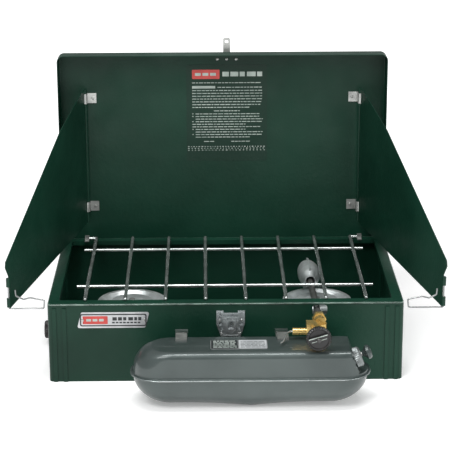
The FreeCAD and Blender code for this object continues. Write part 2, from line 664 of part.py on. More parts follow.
def make_burner(side):
    """Bowl, ring stack, cap and stand of one burner."""
    x = D.burner_x * side
    name = names[side]
    wall = D.bowl_sheet
    rim_r, floor_r = D.burner_dia / 2, D.bowl_floor_dia / 2
    neck_r = D.tube_dia / 2
    bowl = [(neck_r, 0), (floor_r, 0), (floor_r + 5, 7), (rim_r - 4, D.bowl_depth - wall),
            (rim_r, D.bowl_depth - wall), (rim_r, D.bowl_depth),
            (rim_r - 4.6, D.bowl_depth), (floor_r + 4.5, 7 + wall), (floor_r - 0.3, wall),
            (neck_r, wall)]
    node(turned(bowl, (x, 0, bowl_floor)), "burner_bowl_" + name)
    pitch = D.ring_thick + D.ring_gap
    outer_r, inner_r = D.ring_outer_dia / 2, D.ring_inner_dia / 2
    stack_base = bowl_floor + wall + 11
    rings = []
    for index in range(int(float(D.ring_count))):
        out = outer_r - 1.5 * (index % 2)
        ring = [(inner_r, 0), (out, 0), (out, D.ring_thick), (inner_r, D.ring_thick)]
        rings.append(turned(ring, (x, 0, stack_base + pitch * index)))
    node(group(*rings), "burner_rings_" + name)
    cap_z = stack_base + pitch * D.ring_count
    cap_r, screw_r = D.cap_dia / 2, D.screw_dia / 2
    thick = D.cap_thick
    brim = outer_r + 0.5
    cap = [(screw_r + 0.1, 0), (brim, 0), (cap_r, -2.2), (cap_r, -2.2 + thick), (brim, thick),
           (inner_r - 2, thick), (inner_r - 5, thick + 1.5), (screw_r + 0.1, thick + 1.5)]
    node(turned(cap, (x, 0, cap_z + 0.2)), "burner_cap_" + name)
    cup = [(neck_r + 0.3, 0), (inner_r + 1, 0), (inner_r + 1, 10.4), (inner_r, 10.4),
           (inner_r, 1.2), (neck_r + 0.3, 1.2)]
    node(turned(cup, (x, 0, bowl_floor + wall)), "burner_cup_" + name)
    sheet_t = D.stand_sheet
    half = D.stand_width / 2
    top = bowl_floor - 0.1
    tall = top - D.case_sheet
    roof = tall - sheet_t
    toe = half + D.stand_foot
    profile = [(-toe, 0), (sheet_t - half, 0), (sheet_t - half, roof), (half - sheet_t, roof),
               (half - sheet_t, 0), (toe, 0), (toe, sheet_t), (half, sheet_t), (half, tall),
               (-half, tall), (-half, sheet_t), (-toe, sheet_t)]
    strip = place(padded("YZ_Plane", profile, D.stand_length),
                  (x - D.stand_length / 2, 0, D.case_sheet))
    room = D.tube_dia + 2
    riser_hole = rod((x, 0, D.case_sheet + 10), (0, 0, 1), room, 60)
    tube_hole = rod((D.valve_x, 0, D.manifold_z), (0, 1, 0), room, half + 5)
    node(cut(strip, riser_hole, tube_hole), "burner_stand_" + name)
    head_z = cap_z + 0.2 + thick + 1.5
    return [(0, -16), (screw_r, -16), (screw_r, 0), (screw_r + 2, 0), (screw_r + 1.4, 2), (0, 2)], \
        (x, 0, head_z)


# -------------------------------------------- manifold and mixing chamber
tilt = math.radians(float(D.generator_tilt))
generator_way = (0, math.cos(tilt), -math.sin(tilt))


def on_generator(distance):
    """A point on the generator's axis, measured back from the chamber's mouth."""
    return (D.valve_x, D.bulb_y + size(distance) * generator_way[1],
            D.bulb_z + size(distance) * generator_way[2])


def bulb_profile(inset):
    """Half outline of the egg-shaped chamber, inset by a wall."""
    radius = D.bulb_dia / 2
    neck = D.bulb_neck_dia / 2
    length = D.bulb_length
    points = [(neck, 0), (neck, 5), (radius * 0.8, 15), (radius * 0.96, 25), (radius, 35),
              (radius * 0.97, length - 33), (radius * 0.84, length - 20),
              (radius * 0.6, length - 9), (radius * 0.3, length - 2.5)]
    inner = [(r - inset, s) for r, s in points]
    return [(0, 0)] + inner + [(0, length - 1 - inset)]


def make_mixing_chamber():
    """Two stamped halves with a seam flange down the middle."""
    seam_r = D.bulb_dia / 2 + D.seam_proud
    seam_outline = [(0, 12), (seam_r * 0.86, 12), (seam_r, 30), (seam_r, D.bulb_length - 30),
                    (seam_r * 0.7, D.bulb_length - 5), (0, D.bulb_length + D.seam_proud - 1)]
    for side in (-1, 1):
        limits = (D.valve_x, D.valve_x + 40) if side > 0 else (D.valve_x - 40, D.valve_x)
        half_space = box(limits, (D.bulb_y - 20, D.bulb_y + 120), (D.bulb_z - 60, D.bulb_z + 60))
        disc = turned(seam_outline, on_generator(0), generator_way)
        thin = (D.valve_x, D.valve_x + D.seam_thick)
        if side < 0:
            thin = (D.valve_x - D.seam_thick, D.valve_x)
        flange = common(disc, box(thin, (D.bulb_y - 20, D.bulb_y + 120),
                                  (D.bulb_z - 60, D.bulb_z + 60)))
        shell = fuse(common(turned(bulb_profile(0), on_generator(0), generator_way), half_space),
                     flange)
        inner = turned(bulb_profile(D.bulb_wall), on_generator(0), generator_way)
        mouth = rod(on_generator(-5), generator_way, D.bulb_mouth_dia, 20)
        drain = rod((D.valve_x, downpipe_y, D.manifold_z), (0, 0, 1), D.downpipe_dia, 60)
        node(cut(shell, inner, mouth, drain), "mixing_chamber_" + names[side])


downpipe_y = D.bulb_y + D.downpipe_from_mouth


def pipes(wall):
    """Every run of the manifold, less a wall."""
    z = D.manifold_z
    start = -D.burner_x + D.aux_block / 2
    dia = D.tube_dia - 2 * wall
    down_dia = D.downpipe_dia - 2 * wall
    return fuse(rod((start, 0, z), (1, 0, 0), dia, D.burner_x - start),
                rod((D.burner_x, 0, z), (0, 0, 1), dia, bowl_floor + D.bowl_sheet - z),
                ball((D.burner_x, 0, z), dia),
                rod((D.valve_x, 0, z), (0, 1, 0), down_dia, downpipe_y),
                ball((D.valve_x, downpipe_y, z), down_dia),
                rod((D.valve_x, downpipe_y, z), (0, 0, 1), down_dia, D.bulb_z - z - 10.5))


def make_manifold():
    """The tube that carries the mixture down from the chamber and across both burners."""
    wall = D.tube_wall
    bore_dia = D.tube_dia - 2 * wall
    ends = [rod((-D.burner_x + D.aux_block / 2 - 1, 0, D.manifold_z), (1, 0, 0), bore_dia, 5),
            rod((D.burner_x, 0, bowl_floor), (0, 0, 1), bore_dia, 8),
            rod((D.valve_x, downpipe_y, D.bulb_z - 20), (0, 0, 1), D.downpipe_dia - 2 * wall, 20)]
    chamber = turned(bulb_profile(D.bulb_wall), on_generator(0), generator_way)
    tube = cut(pipes(0), pipes(wall), *ends)
    node(cut(tube, chamber), "manifold_tube")


def make_aux_valve():
    """Valve under the left burner, with its stem out through the case's left wall."""
    z = D.manifold_z
    x = -D.burner_x
    half = D.aux_block / 2
    block = box((x - half, x + half), (-half * 0.6, half * 0.6), (z - half * 0.6, z + half * 0.6))
    riser = rod((x, 0, z), (0, 0, 1), D.tube_dia, bowl_floor + D.bowl_sheet - z)
    up_bore = rod((x, 0, z), (0, 0, 1), D.tube_dia - 4, bowl_floor + D.bowl_sheet - z + 1)
    across = rod((x, 0, z), (1, 0, 0), D.tube_dia - 4, half + 1)
    stem_bore = rod((x - half - 1, 0, z), (1, 0, 0), D.aux_stem_dia + 2 * D.running_gap, half + 1)
    body = cut(fuse(block, riser), up_bore, across, stem_bore)
    node(body, "aux_valve_body")
    tip = x - 3
    end = -half_width - D.aux_stem_proud
    node(rod((tip, 0, z), (-1, 0, 0), D.aux_stem_dia, tip - end), "aux_valve_stem")
    knob_r = D.aux_knob_dia / 2
    hub = D.aux_stem_dia / 2
    knob = [(hub, 0), (knob_r * 0.6, 0), (knob_r * 0.6, 2.5), (knob_r * 0.93, 3.5), (knob_r, 5),
            (knob_r, D.aux_knob_thick - 1.5), (knob_r - 1.5, D.aux_knob_thick),
            (0, D.aux_knob_thick), (0, D.aux_knob_thick - 3), (hub, D.aux_knob_thick - 3)]
    node(turned(knob, (end + D.aux_knob_thick - 3, 0, z), (-1, 0, 0)), "aux_valve_knob")


# ---------------------------------------------------------------- fuel tank
tank_left = D.tank_x - D.tank_length / 2
tank_right = D.tank_x + D.tank_length / 2
tank_back = front - D.tank_stand_off
tank_front = tank_back - D.tank_depth
tank_mid = tank_back - D.tank_depth / 2
tank_top = D.tank_seam_z + D.tank_upper


def tank_block(inset, low, high):
    """A block with the tank's plan, less an inset."""
    body = rounded_prism("XY_Plane", (tank_left + inset, tank_right - inset),
                         (tank_front + inset, tank_back - inset), D.tank_corner - inset,
                         size(high) - low)
    return place(body, (0, 0, low))


shoulder_slope = D.shoulder_run / D.shoulder_rise


def shoulder_wedge(inset):
    """What the sloped right-hand shoulder takes off the upper shell."""
    top = tank_top + 10
    foot_z = tank_top - D.shoulder_rise - inset
    foot_x = tank_right - D.shoulder_inset + D.shoulder_run - inset
    outline = [(foot_x, foot_z), (tank_right + 40, foot_z - D.shoulder_ledge),
               (tank_right + 40, top), (foot_x - shoulder_slope * (top - foot_z), top)]
    return place(padded("XZ_Plane", outline, D.tank_depth + 20), (0, tank_back + 10, 0))


def upper_form(inset):
    """The upper half's outer or inner form, with the crisp facet of its shoulder."""
    block = rounded(tank_block(inset, D.tank_seam_z, tank_top - inset), D.tank_top_edge - inset,
                    lambda edge: edge.BoundBox.ZMin > float(tank_top - inset) - 0.01)
    return cut(block, shoulder_wedge(inset))


def lower_form(inset):
    """The lower half's outer or inner form, with its shallow sump."""
    bottom = D.tank_seam_z - D.tank_lower + inset
    block = rounded(tank_block(inset, bottom, D.tank_seam_z), D.tank_base_edge - inset,
                    lambda edge: edge.BoundBox.ZMax < float(bottom) + 0.01)
    steps = [(D.sump_spread / 2, D.sump_depth * -0.6), (D.sump_width / 2, D.sump_depth * 0.45),
             (D.sump_floor / 2, D.sump_depth)]
    keel = [(D.tank_x - across, bottom - deep) for across, deep in steps]
    keel += [(D.tank_x + across, bottom - deep) for across, deep in reversed(steps)]
    top = bottom + D.sump_depth * 2
    keel += [(D.tank_x + D.sump_spread / 2, top), (D.tank_x - D.sump_spread / 2, top)]
    length = D.sump_length - 2 * inset
    return fuse(block, place(padded("XZ_Plane", keel, length), (0, tank_mid + length / 2, 0)))


def shoulder_frame():
    """Direction of the shoulder's outward normal."""
    run, rise = float(D.shoulder_run), float(D.shoulder_rise)
    length = math.hypot(run, rise)
    return (rise / length, 0, run / length)


def on_shoulder(port, out):
    """A point above a port's centre on the shoulder, out along the shoulder's normal."""
    from_front, up = port
    normal = shoulder_frame()
    x = tank_right - D.shoulder_inset + shoulder_slope * (D.shoulder_rise - up)
    z = tank_top - D.shoulder_rise + up
    return (x + size(out) * normal[0], tank_front + from_front, z + size(out) * normal[2])


filler_port = (D.filler_from_front, D.filler_up)
pump_port = (D.pump_from_front, D.pump_up)


def make_tank_shells():
    """Upper and lower pressings joined at a flat seam flange."""
    seam, wall = D.tank_seam_z, D.tank_sheet
    flange_plan = (tank_left - D.tank_flange, tank_right + D.tank_flange)
    flange_deep = (tank_front - D.tank_flange, tank_back + D.tank_flange)

    def flange(low):
        plate = rounded_prism("XY_Plane", flange_plan, flange_deep,
                              D.tank_corner + D.tank_flange, wall)
        return cut(place(plate, (0, 0, low)), tank_block(wall, low - 1, low + wall + 1))

    normal = shoulder_frame()
    ports = [rod(on_shoulder(filler_port, -30), normal, D.neck_dia - 4, 60),
             rod(on_shoulder(pump_port, -30), normal, D.barrel_dia, 60),
             rod((D.valve_x, front - D.valve_stand_off, tank_top - 10), (0, 0, 1), 10, 30)]
    upper = cut(fuse(upper_form(0), flange(seam)), upper_form(wall), *ports)
    node(upper, "tank_upper_shell")
    lower = cut(fuse(lower_form(0), flange(seam - wall)), lower_form(wall))
    node(lower, "tank_lower_shell")


def make_hangers():
    """Two straps on the tank whose tongues sit in the case's slots."""
    thick = D.hanger_thick
    hangers = []
    tongue_z = D.slot_z + D.fit_gap
    for x in (D.hanger_x_left, D.hanger_x_right):
        start = tank_back - D.tank_top_edge - 9
        drop = tank_back + 1
        outline = [(start, tank_top), (drop, tank_top), (drop, tongue_z),
                   (front + D.hanger_tongue, tongue_z), (front + D.hanger_tongue, tongue_z + thick),
                   (drop + thick, tongue_z + thick), (drop + thick, tank_top + thick * 0.5),
                   (drop + thick * 0.5, tank_top + thick), (start, tank_top + thick)]
        hangers.append(place(padded("YZ_Plane", outline, D.hanger_width),
                             (x - D.hanger_width / 2, 0, 0)))
    node(group(*hangers), "tank_hangers")


def make_tank_label():
    """A blank data plate on top of the tank."""
    x = D.tank_label_x
    half = D.tank_label_width / 2
    middle = tank_mid - 1
    plate = rounded_prism("XY_Plane", (x - half, x + half),
                          (middle - D.tank_label_depth / 2, middle + D.tank_label_depth / 2),
                          3, D.tank_label_thick)
    node(place(plate, (0, 0, tank_top)), "tank_label")


# ------------------------------------------------- control valve, generator
valve_y = front - D.valve_stand_off
stem_x = D.valve_x - D.stem_offset


def make_control_valve():
    """Brass body with ports for the generator, the stem and the lighting lever."""
    x = D.valve_x
    half = D.valve_dia / 2
    body = fuse(hexagon(D.valve_dia, 7, (x, valve_y, tank_top), (0, 0, 1)),
                rod((x, valve_y, tank_top), (0, 0, 1), D.valve_dia - 2, D.valve_height),
                rod((x, valve_y, D.generator_z + 1.5), generator_way, D.valve_dia - 5, half + 5),
                rod((stem_x, valve_y, D.knob_z), (0, -1, 0), D.valve_dia - 6, half + 4),
                rod((x, valve_y, D.lever_z), (-1, 0, 0), D.lever_boss_dia,
                    D.valve_block + D.lever_boss_length),
                box((x - D.valve_block, x - 1), (valve_y - half + 1, valve_y + half - 1),
                    (tank_top + 5, tank_top + D.valve_height + 1)),
                rod((x, valve_y, tank_top), (0, 0, -1), 9.6, 8))
    stem_bore = rod((stem_x, valve_y - 2, D.knob_z), (0, -1, 0), D.stem_dia + 2 * D.running_gap, 40)
    lever_bore = rod((x - D.valve_block, valve_y, D.lever_z), (-1, 0, 0),
                     D.lever_dia + 2 * D.running_gap, 40)
    fuel_bore = rod((x, valve_y, tank_top - 9), (0, 0, 1), D.pickup_dia, 15)
    node(cut(body, stem_bore, lever_bore, fuel_bore), "valve_body")
    node(cut(rod((x, valve_y, tank_top - D.tank_upper - D.tank_lower + 12), (0, 0, 1), D.pickup_dia,
                 D.tank_upper + D.tank_lower - 12),
             rod((x, valve_y, 0), (0, 0, 1), D.pickup_dia - 2, 100)), "pickup_tube")
    start = D.valve_dia / 2 + 5
    nut_base = (x, valve_y + start * generator_way[1], D.generator_z + 1.5 + start * generator_way[2])
    nut = hexagon(D.nut_flats, D.nut_thick, nut_base, generator_way)
    tunnel = rod(nut_base, generator_way, D.generator_dia, 40)
    node(cut(nut, tunnel), "generator_nut")
    length = (D.bulb_y - nut_base[1]) / math.cos(tilt) + D.generator_engage
    outer = rod(nut_base, generator_way, D.generator_dia, length - 6)
    tip = rod(nut_base, generator_way, D.generator_bore + 1, length)
    bore = rod(nut_base, generator_way, D.generator_bore - 1, length + 5)
    node(cut(fuse(outer, tip), bore), "generator_tube")
    face = valve_y - D.valve_dia / 2 - 4
    nut = hexagon(D.packing_flats, D.packing_thick, (stem_x, face, D.knob_z), (0, -1, 0))
    bore = rod((stem_x, face + 5, D.knob_z), (0, -1, 0), D.stem_dia + 2 * D.running_gap, 40)
    node(cut(nut, bore), "packing_nut")
    node(rod((stem_x, valve_y - 4, D.knob_z), (0, -1, 0), D.stem_dia, D.stem_length + 8), "valve_stem")


def make_control_knob():
    """Round grip knob with a raised bar across its face."""
    radius = D.knob_dia / 2
    thick = D.knob_thick
    back = valve_y - D.stem_length + 2
    hub = D.stem_dia / 2
    profile = [(hub, 0), (radius * 0.5, 0), (radius * 0.5, 3), (radius * 0.94, 4), (radius, 5.5),
               (radius, thick - 2), (radius - 2, thick), (4, thick), (4, thick - 2.5), (hub, thick - 2.5)]
    disc = turned(profile, (stem_x, back, D.knob_z), (0, -1, 0))
    turn = FreeCAD.Rotation(Vector(0, 0, 1), Vector(0, -1, 0)).multiply(
        FreeCAD.Rotation(Vector(0, 0, 1), 12))
    bar = padded("XY_Plane", [(2.5 - radius, -2), (radius - 2.5, -2), (radius - 2.5, 2),
                              (2.5 - radius, 2)], 3.5)
    bar = place(bar, (stem_x, back - thick + 0.5, D.knob_z), turn)
    well = rod((stem_x, back - thick + 2.5, D.knob_z), (0, -1, 0), 8, 10)
    node(cut(fuse(disc, bar), well), "control_knob")
    screw = [(0, 0), (2.9, 0), (2.9, 1.2), (2, 2), (0, 2)]
    seat = valve_y - 4 - D.stem_length - 8
    node(turned(screw, (stem_x, seat, D.knob_z), (0, -1, 0)), "knob_screw")


def make_lighting_lever():
    """Bent wire lever that turns in the valve's side boss."""
    x = float(D.valve_x - D.valve_block)
    y, z = float(valve_y), float(D.lever_z)
    out = x - float(D.lever_boss_length) - 3
    points = [Vector(x - 2, y, z), Vector(out, y, z), Vector(out - 4, y - 4, z - 0.5),
              Vector(out - 9, y - 20, z - 5), Vector(out - 13, y - 25, z - 6)]
    node(featured(bent_wire(points, float(D.lever_dia), 3)), "lighting_lever")


# ---------------------------------------------------------- filler and pump
def make_filler():
    """Threaded neck, sealing washer and vented cap."""
    normal = shoulder_frame()
    neck_r, cap_r = D.neck_dia / 2, D.filler_cap_dia / 2
    height = D.filler_cap_height
    neck = [(neck_r - 3.2, -3), (neck_r - 2, -3), (neck_r - 2, 0), (neck_r, 0),
            (neck_r, D.neck_height), (neck_r - 3.2, D.neck_height)]
    node(turned(neck, on_shoulder(filler_port, 0.02), normal), "filler_neck")
    washer = [(neck_r - 3, 0), (neck_r, 0), (neck_r, 1.5), (neck_r - 3, 1.5)]
    node(turned(washer, on_shoulder(filler_port, D.neck_height + 0.1), normal), "filler_washer")
    inside = neck_r + D.fit_gap
    roof = D.neck_height + 1.8
    cap = [(inside, 1), (cap_r, 1), (cap_r, height - 1.2), (cap_r - 1.2, height), (0, height),
           (0, roof), (inside, roof)]
    shell = turned(cap, on_shoulder(filler_port, 0), normal)
    base = [float(part) for part in on_shoulder(filler_port, 0)]
    grooves = []
    count = int(float(D.knurls))
    side = Vector(-normal[2], 0, normal[0])
    for index in range(count):
        angle = 2 * math.pi * index / count
        spoke = side * math.cos(angle) + Vector(0, 1, 0) * math.sin(angle)
        spot = Vector(*base) + spoke * (float(cap_r) + 0.45) + Vector(*normal) * 0.5
        grooves.append(rod((spot.x, spot.y, spot.z), normal, 1.6, height - 2.4))
    vent = (Vector(0, -1, 0) * 0.93 - side * 0.37).normalize()
    start = Vector(*base) + Vector(*normal) * 6 + vent * (float(cap_r) - 2)
    grooves.append(rod((start.x, start.y, start.z), vent, 3, 6))
    node(cut(shell, *grooves), "filler_cap")


def make_pump():
    """Pump barrel in the tank, its cap, the plunger with cup, and the thumb knob."""
    normal = shoulder_frame()
    way_in = tuple(-part for part in normal)
    barrel_r = D.barrel_dia / 2
    bore_r = barrel_r - D.barrel_wall
    rod_r = D.pump_rod_dia / 2
    length = D.barrel_length
    barrel = [(bore_r, -length), (barrel_r, -length), (barrel_r, 0), (barrel_r + 2, 0),
              (barrel_r + 2, 2), (bore_r, 2)]
    node(turned(barrel, on_shoulder(pump_port, 0.02), normal), "pump_barrel")
    cap_r = D.pump_cap_dia / 2
    guide = rod_r + D.running_gap
    cap = [(guide, 2.1), (cap_r, 2.1), (cap_r, 1.1 + D.pump_cap_thick), (cap_r - 1, 2.1 + D.pump_cap_thick),
           (guide + 2, 2.1 + D.pump_cap_thick), (guide + 1.5, 5.1 + D.pump_cap_thick),
           (guide, 5.1 + D.pump_cap_thick)]
    node(turned(cap, on_shoulder(pump_port, 0), normal), "pump_cap")
    valve = [(0, -length), (bore_r, -length), (bore_r, 6 - length), (2, 6 - length), (0, 5 - length)]
    node(turned(valve, on_shoulder(pump_port, 0), normal), "check_valve")
    knob_base = 5.1 + D.pump_cap_thick + D.pump_knob_stand_off
    deep = D.pump_stroke + 18
    inner_r = rod_r - 1.2
    plunger = [(inner_r, -deep), (rod_r, -deep), (rod_r, knob_base - 0.5), (inner_r, knob_base - 0.5)]
    node(turned(plunger, on_shoulder(pump_port, 0), normal), "pump_plunger")
    cup = [(rod_r, -deep), (bore_r - 0.1, -deep), (bore_r - 0.1, 4 - deep),
           (bore_r - 2, D.pump_cup_length - deep), (rod_r, D.pump_cup_length - deep)]
    node(turned(cup, on_shoulder(pump_port, 0), normal), "pump_cup")
    knob_r = D.pump_knob_dia / 2
    thick = D.pump_knob_thick
    stem_r = inner_r - D.running_gap
    knob = [(0, -deep - 2), (stem_r, -deep - 2), (stem_r, knob_base), (rod_r + 0.6, knob_base),
            (rod_r + 1.6, knob_base + 2.5), (knob_r - 1, knob_base + 5),
            (knob_r, knob_base + 6), (knob_r, knob_base + 4 + thick),
            (knob_r - 2, knob_base + 6 + thick), (0, knob_base + 6.8 + thick)]
    node(turned(knob, on_shoulder(pump_port, 0), normal), "pump_knob")


# ------------------------------------------------------- nameplate and latch
def make_nameplate():
    """A blank slanted plate.  Returns its two rivets."""
    x, low = D.plate_x, D.plate_z
    half, slant = D.plate_width / 2, D.plate_slant
    high = low + D.plate_height
    outline = [(x - half - slant / 2, low), (x + half - slant / 2, low),
               (x + half + slant / 2, high), (x - half + slant / 2, high)]
    plate = rounded(place(padded("XZ_Plane", outline, D.plate_thick), (0, front, 0)), 2.5,
                    lambda edge: edge.BoundBox.XLength < 0.01 and edge.BoundBox.ZLength < 0.01)
    node(plate, "nameplate")
    return [rivet(x + (half - 4) * side, front - D.plate_thick, low + D.plate_height / 2,
                  (0, -1, 0), 0.5) for side in (-1, 1)]


latch_pin_y = front - D.latch_sheet - 4
latch_pin_z = D.latch_z + 7


def make_latch():
    """Hasp on the front: riveted base with two ears, a pin, and the lever that hooks the strap.

    Returns the base's rivets.
    """
    x = D.latch_x
    half = D.latch_width / 2
    low, high = D.latch_z, D.latch_z + D.latch_height
    thick = D.latch_sheet
    lug = D.latch_width / 4
    outline = [(x - half + 6, low), (x + half - 6, low), (x + half, low + 18), (x + half, high),
               (x + half - lug, high), (x + half - lug, high - 3), (x - half + lug, high - 3),
               (x - half + lug, high), (x - half, high), (x - half, low + 18)]
    plate = place(padded("XZ_Plane", outline, thick), (0, front, 0))
    ears = []
    for side in (-1, 1):
        inner = x + (half - 8) * side
        across = (inner, inner + 1.2) if side > 0 else (inner - 1.2, inner)
        ears.append(box(across, (front - D.latch_depth, front - thick / 2),
                        (latch_pin_z - 4, latch_pin_z + 5)))
    hole = rod((x - 20, latch_pin_y, latch_pin_z), (1, 0, 0), D.latch_pin_dia, 40)
    node(cut(fuse(plate, *ears), hole), "latch_base")
    reach = half - 8 + 1.2 + 1
    node(rod((x - reach, latch_pin_y, latch_pin_z), (1, 0, 0), D.latch_pin_dia, reach * 2), "latch_pin")
    width = half - 8 - 0.6
    barrel_dia = D.latch_pin_dia + 2.6
    barrel = rod((x - width, latch_pin_y, latch_pin_z), (1, 0, 0), barrel_dia, width * 2)
    arm = box((x - width, x + width), (latch_pin_y - barrel_dia / 2, latch_pin_y - barrel_dia / 2 + thick),
              (latch_pin_z, high - 6))
    nose = box((x - width + 2, x + width - 2), (latch_pin_y - barrel_dia / 2, latch_pin_y + 1),
               (high - 12, high - 12 + thick))
    tab = box((x - 5, x + 5), (latch_pin_y - barrel_dia / 2 - 3, latch_pin_y - barrel_dia / 2 + thick),
              (high - 6 - thick, high - 6))
    bore = rod((x - 20, latch_pin_y, latch_pin_z), (1, 0, 0), D.latch_pin_dia + 2 * D.running_gap, 40)
    node(cut(fuse(barrel, arm, nose, tab), bore), "latch_lever")
    return [rivet(x + (half - 4) * side, front - thick, high - 13, (0, -1, 0), 0.5)
            for side in (-1, 1)]


# --------------------------------------------------------------- build it all
make_case()
make_lid()
case_rivets = make_lid_hinges() + make_nameplate() + make_latch()
node(group(*case_rivets), "case_rivets")
lid_rivets = make_lid_fittings()
clips, hinge_rods = [], []
for each_side in (-1, 1):
    make_baffle(each_side)
    more_clips, hinge_rod, more_rivets = make_baffle_clips(each_side)
    clips += more_clips
    hinge_rods.append(hinge_rod)
    lid_rivets += more_rivets
    make_baffle_wire(each_side)
node(group(*clips), "baffle_clips")
node(group(*hinge_rods), "baffle_rods")
node(group(*lid_rivets), "lid_rivets")
make_grate()
make_grate_clips()
screws = [turned(*make_burner(each_side)) for each_side in (-1, 1)]
node(group(*screws), "burner_screws")
make_manifold()
make_mixing_chamber()
make_aux_valve()
make_tank_shells()
make_hangers()
make_tank_label()
make_control_valve()
make_control_knob()
make_lighting_lever()
make_filler()
make_pump()
doc.recompute()

failed = [obj.Name for obj in doc.Objects if "Invalid" in obj.State or "Error" in obj.State]
for label, obj in nodes.items():
    if obj.Shape.isNull() or not obj.Shape.isValid() or not obj.Shape.Solids:
        failed.append(label)
if failed:
    raise RuntimeError("failed objects: " + ", ".join(failed))

os.makedirs("parts", exist_ok=True)
for label, obj in nodes.items():
    obj.Shape.exportStep("parts/" + label + ".step")
print(len(nodes), "nodes written")
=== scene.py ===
import json
import math
import random

import bmesh
import bpy
from mathutils import Matrix, Vector


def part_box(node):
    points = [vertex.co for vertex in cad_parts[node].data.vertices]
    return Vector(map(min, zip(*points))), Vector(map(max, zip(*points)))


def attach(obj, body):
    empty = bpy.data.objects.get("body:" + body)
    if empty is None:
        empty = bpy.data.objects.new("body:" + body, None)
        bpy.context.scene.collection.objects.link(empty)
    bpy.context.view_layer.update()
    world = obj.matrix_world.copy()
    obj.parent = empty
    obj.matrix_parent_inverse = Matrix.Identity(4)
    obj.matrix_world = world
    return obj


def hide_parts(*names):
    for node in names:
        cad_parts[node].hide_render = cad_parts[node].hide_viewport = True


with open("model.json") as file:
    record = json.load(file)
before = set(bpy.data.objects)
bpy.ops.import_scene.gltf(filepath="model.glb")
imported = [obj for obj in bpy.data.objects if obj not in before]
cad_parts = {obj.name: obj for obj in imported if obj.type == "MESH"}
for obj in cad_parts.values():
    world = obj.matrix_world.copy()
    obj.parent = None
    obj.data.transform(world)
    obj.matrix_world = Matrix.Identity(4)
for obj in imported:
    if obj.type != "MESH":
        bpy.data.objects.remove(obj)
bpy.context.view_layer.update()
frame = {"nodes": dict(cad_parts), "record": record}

MM = 0.001
NODES = frame["nodes"]
SLOT_OF = {part["node"]: part["material_slot"] for part in frame["record"]["subparts"]}


# ------------------------------------------------------------------ camera
CAMERA_PLACE = Vector((-25.3, -2155.1, 843.9)) * MM
CAMERA_YAW, CAMERA_PITCH, CAMERA_ROLL = (math.radians(a) for a in (0.698, 17.476, -0.201))
CAMERA_LENS = 136.62


def make_camera():
    """The camera stands where the stove is seen from the front and a little above."""
    ahead = Vector((math.sin(CAMERA_YAW) * math.cos(CAMERA_PITCH),
                    math.cos(CAMERA_YAW) * math.cos(CAMERA_PITCH), -math.sin(CAMERA_PITCH)))
    level = Vector((math.cos(CAMERA_YAW), -math.sin(CAMERA_YAW), 0))
    above = level.cross(ahead)
    right = level * math.cos(CAMERA_ROLL) + above * math.sin(CAMERA_ROLL)
    up = above * math.cos(CAMERA_ROLL) - level * math.sin(CAMERA_ROLL)
    data = bpy.data.cameras.new("camera")
    data.lens = CAMERA_LENS
    data.sensor_width = 36
    data.clip_end = 20
    camera = bpy.data.objects.new("camera", data)
    turn = Matrix((right, up, -ahead)).transposed().to_4x4()
    camera.matrix_world = Matrix.Translation(CAMERA_PLACE) @ turn
    bpy.context.scene.collection.objects.link(camera)
    bpy.context.scene.camera = camera


# ---------------------------------------------------------- light and floor
WORLD_LIGHT = 0.42
WORLD_SEEN = 1.05
FLOOR_HALF = 6
FLOOR_GLOW = (0.25, 0.85)
GLOW_RISES = (0.5, 1.6)


def make_area_light(name, place, target, size, power):
    """A soft rectangular lamp aimed at a point."""
    data = bpy.data.lights.new(name, "AREA")
    data.shape = "RECTANGLE"
    data.size, data.size_y = size
    data.energy = power
    lamp = bpy.data.objects.new(name, data)
    lamp.location = place
    lamp.rotation_euler = (Vector(target) - Vector(place)).to_track_quat("-Z", "Y").to_euler()
    bpy.context.scene.collection.objects.link(lamp)


def make_world():
    """White surroundings that light the stove less than they show behind it."""
    world = bpy.data.worlds.new("studio")
    world.use_nodes = True
    tree = world.node_tree
    background = tree.nodes["Background"]
    background.inputs["Color"].default_value = (1, 1, 1, 1)
    seen = tree.nodes.new("ShaderNodeLightPath")
    strength = tree.nodes.new("ShaderNodeMapRange")
    strength.inputs["To Min"].default_value = WORLD_LIGHT
    strength.inputs["To Max"].default_value = WORLD_SEEN
    tree.links.new(seen.outputs["Is Camera Ray"], strength.inputs["Value"])
    tree.links.new(strength.outputs["Result"], background.inputs["Strength"])
    bpy.context.scene.world = world
    bpy.context.scene.view_settings.view_transform = "Standard"


def make_floor():
    """A pale floor that glows a little more away from the stove, where the lamps fade."""
    half = FLOOR_HALF
    mesh = bpy.data.meshes.new("floor")
    mesh.from_pydata([(-half, -half, 0), (half, -half, 0), (half, half, 0), (-half, half, 0)],
                     [], [(0, 1, 2, 3)])
    floor = bpy.data.objects.new("floor", mesh)
    bpy.context.scene.collection.objects.link(floor)
    pale = shader("pale_floor", (0.95, 0.95, 0.95), roughness=0.8, Emission_Color=(1, 1, 1, 1))
    place = add_node(pale, "ShaderNodeTexCoord")
    away = add_node(pale, "ShaderNodeVectorMath")
    away.operation = "LENGTH"
    glow = add_node(pale, "ShaderNodeMapRange", From_Min=GLOW_RISES[0], From_Max=GLOW_RISES[1],
                    To_Min=FLOOR_GLOW[0], To_Max=FLOOR_GLOW[1])
    link(pale, place, "Object", away, "Vector")
    link(pale, away, "Value", glow, "Value")
    link(pale, glow, "Result", surface(pale), "Emission Strength")
    floor.data.materials.append(pale)


def make_studio():
    """The surroundings, three soft lamps and the floor."""
    make_world()
    make_area_light("key", (-0.9, -1.6, 2.2), (0, 0, 0.1), (1.4, 1.0), 32)
    make_area_light("fill", (1.7, -1.5, 1.0), (0, 0, 0.1), (0.8, 0.8), 9)
    make_area_light("top", (0.05, -0.45, 1.9), (0, -0.1, 0), (1.5, 0.3), 24)
    make_floor()


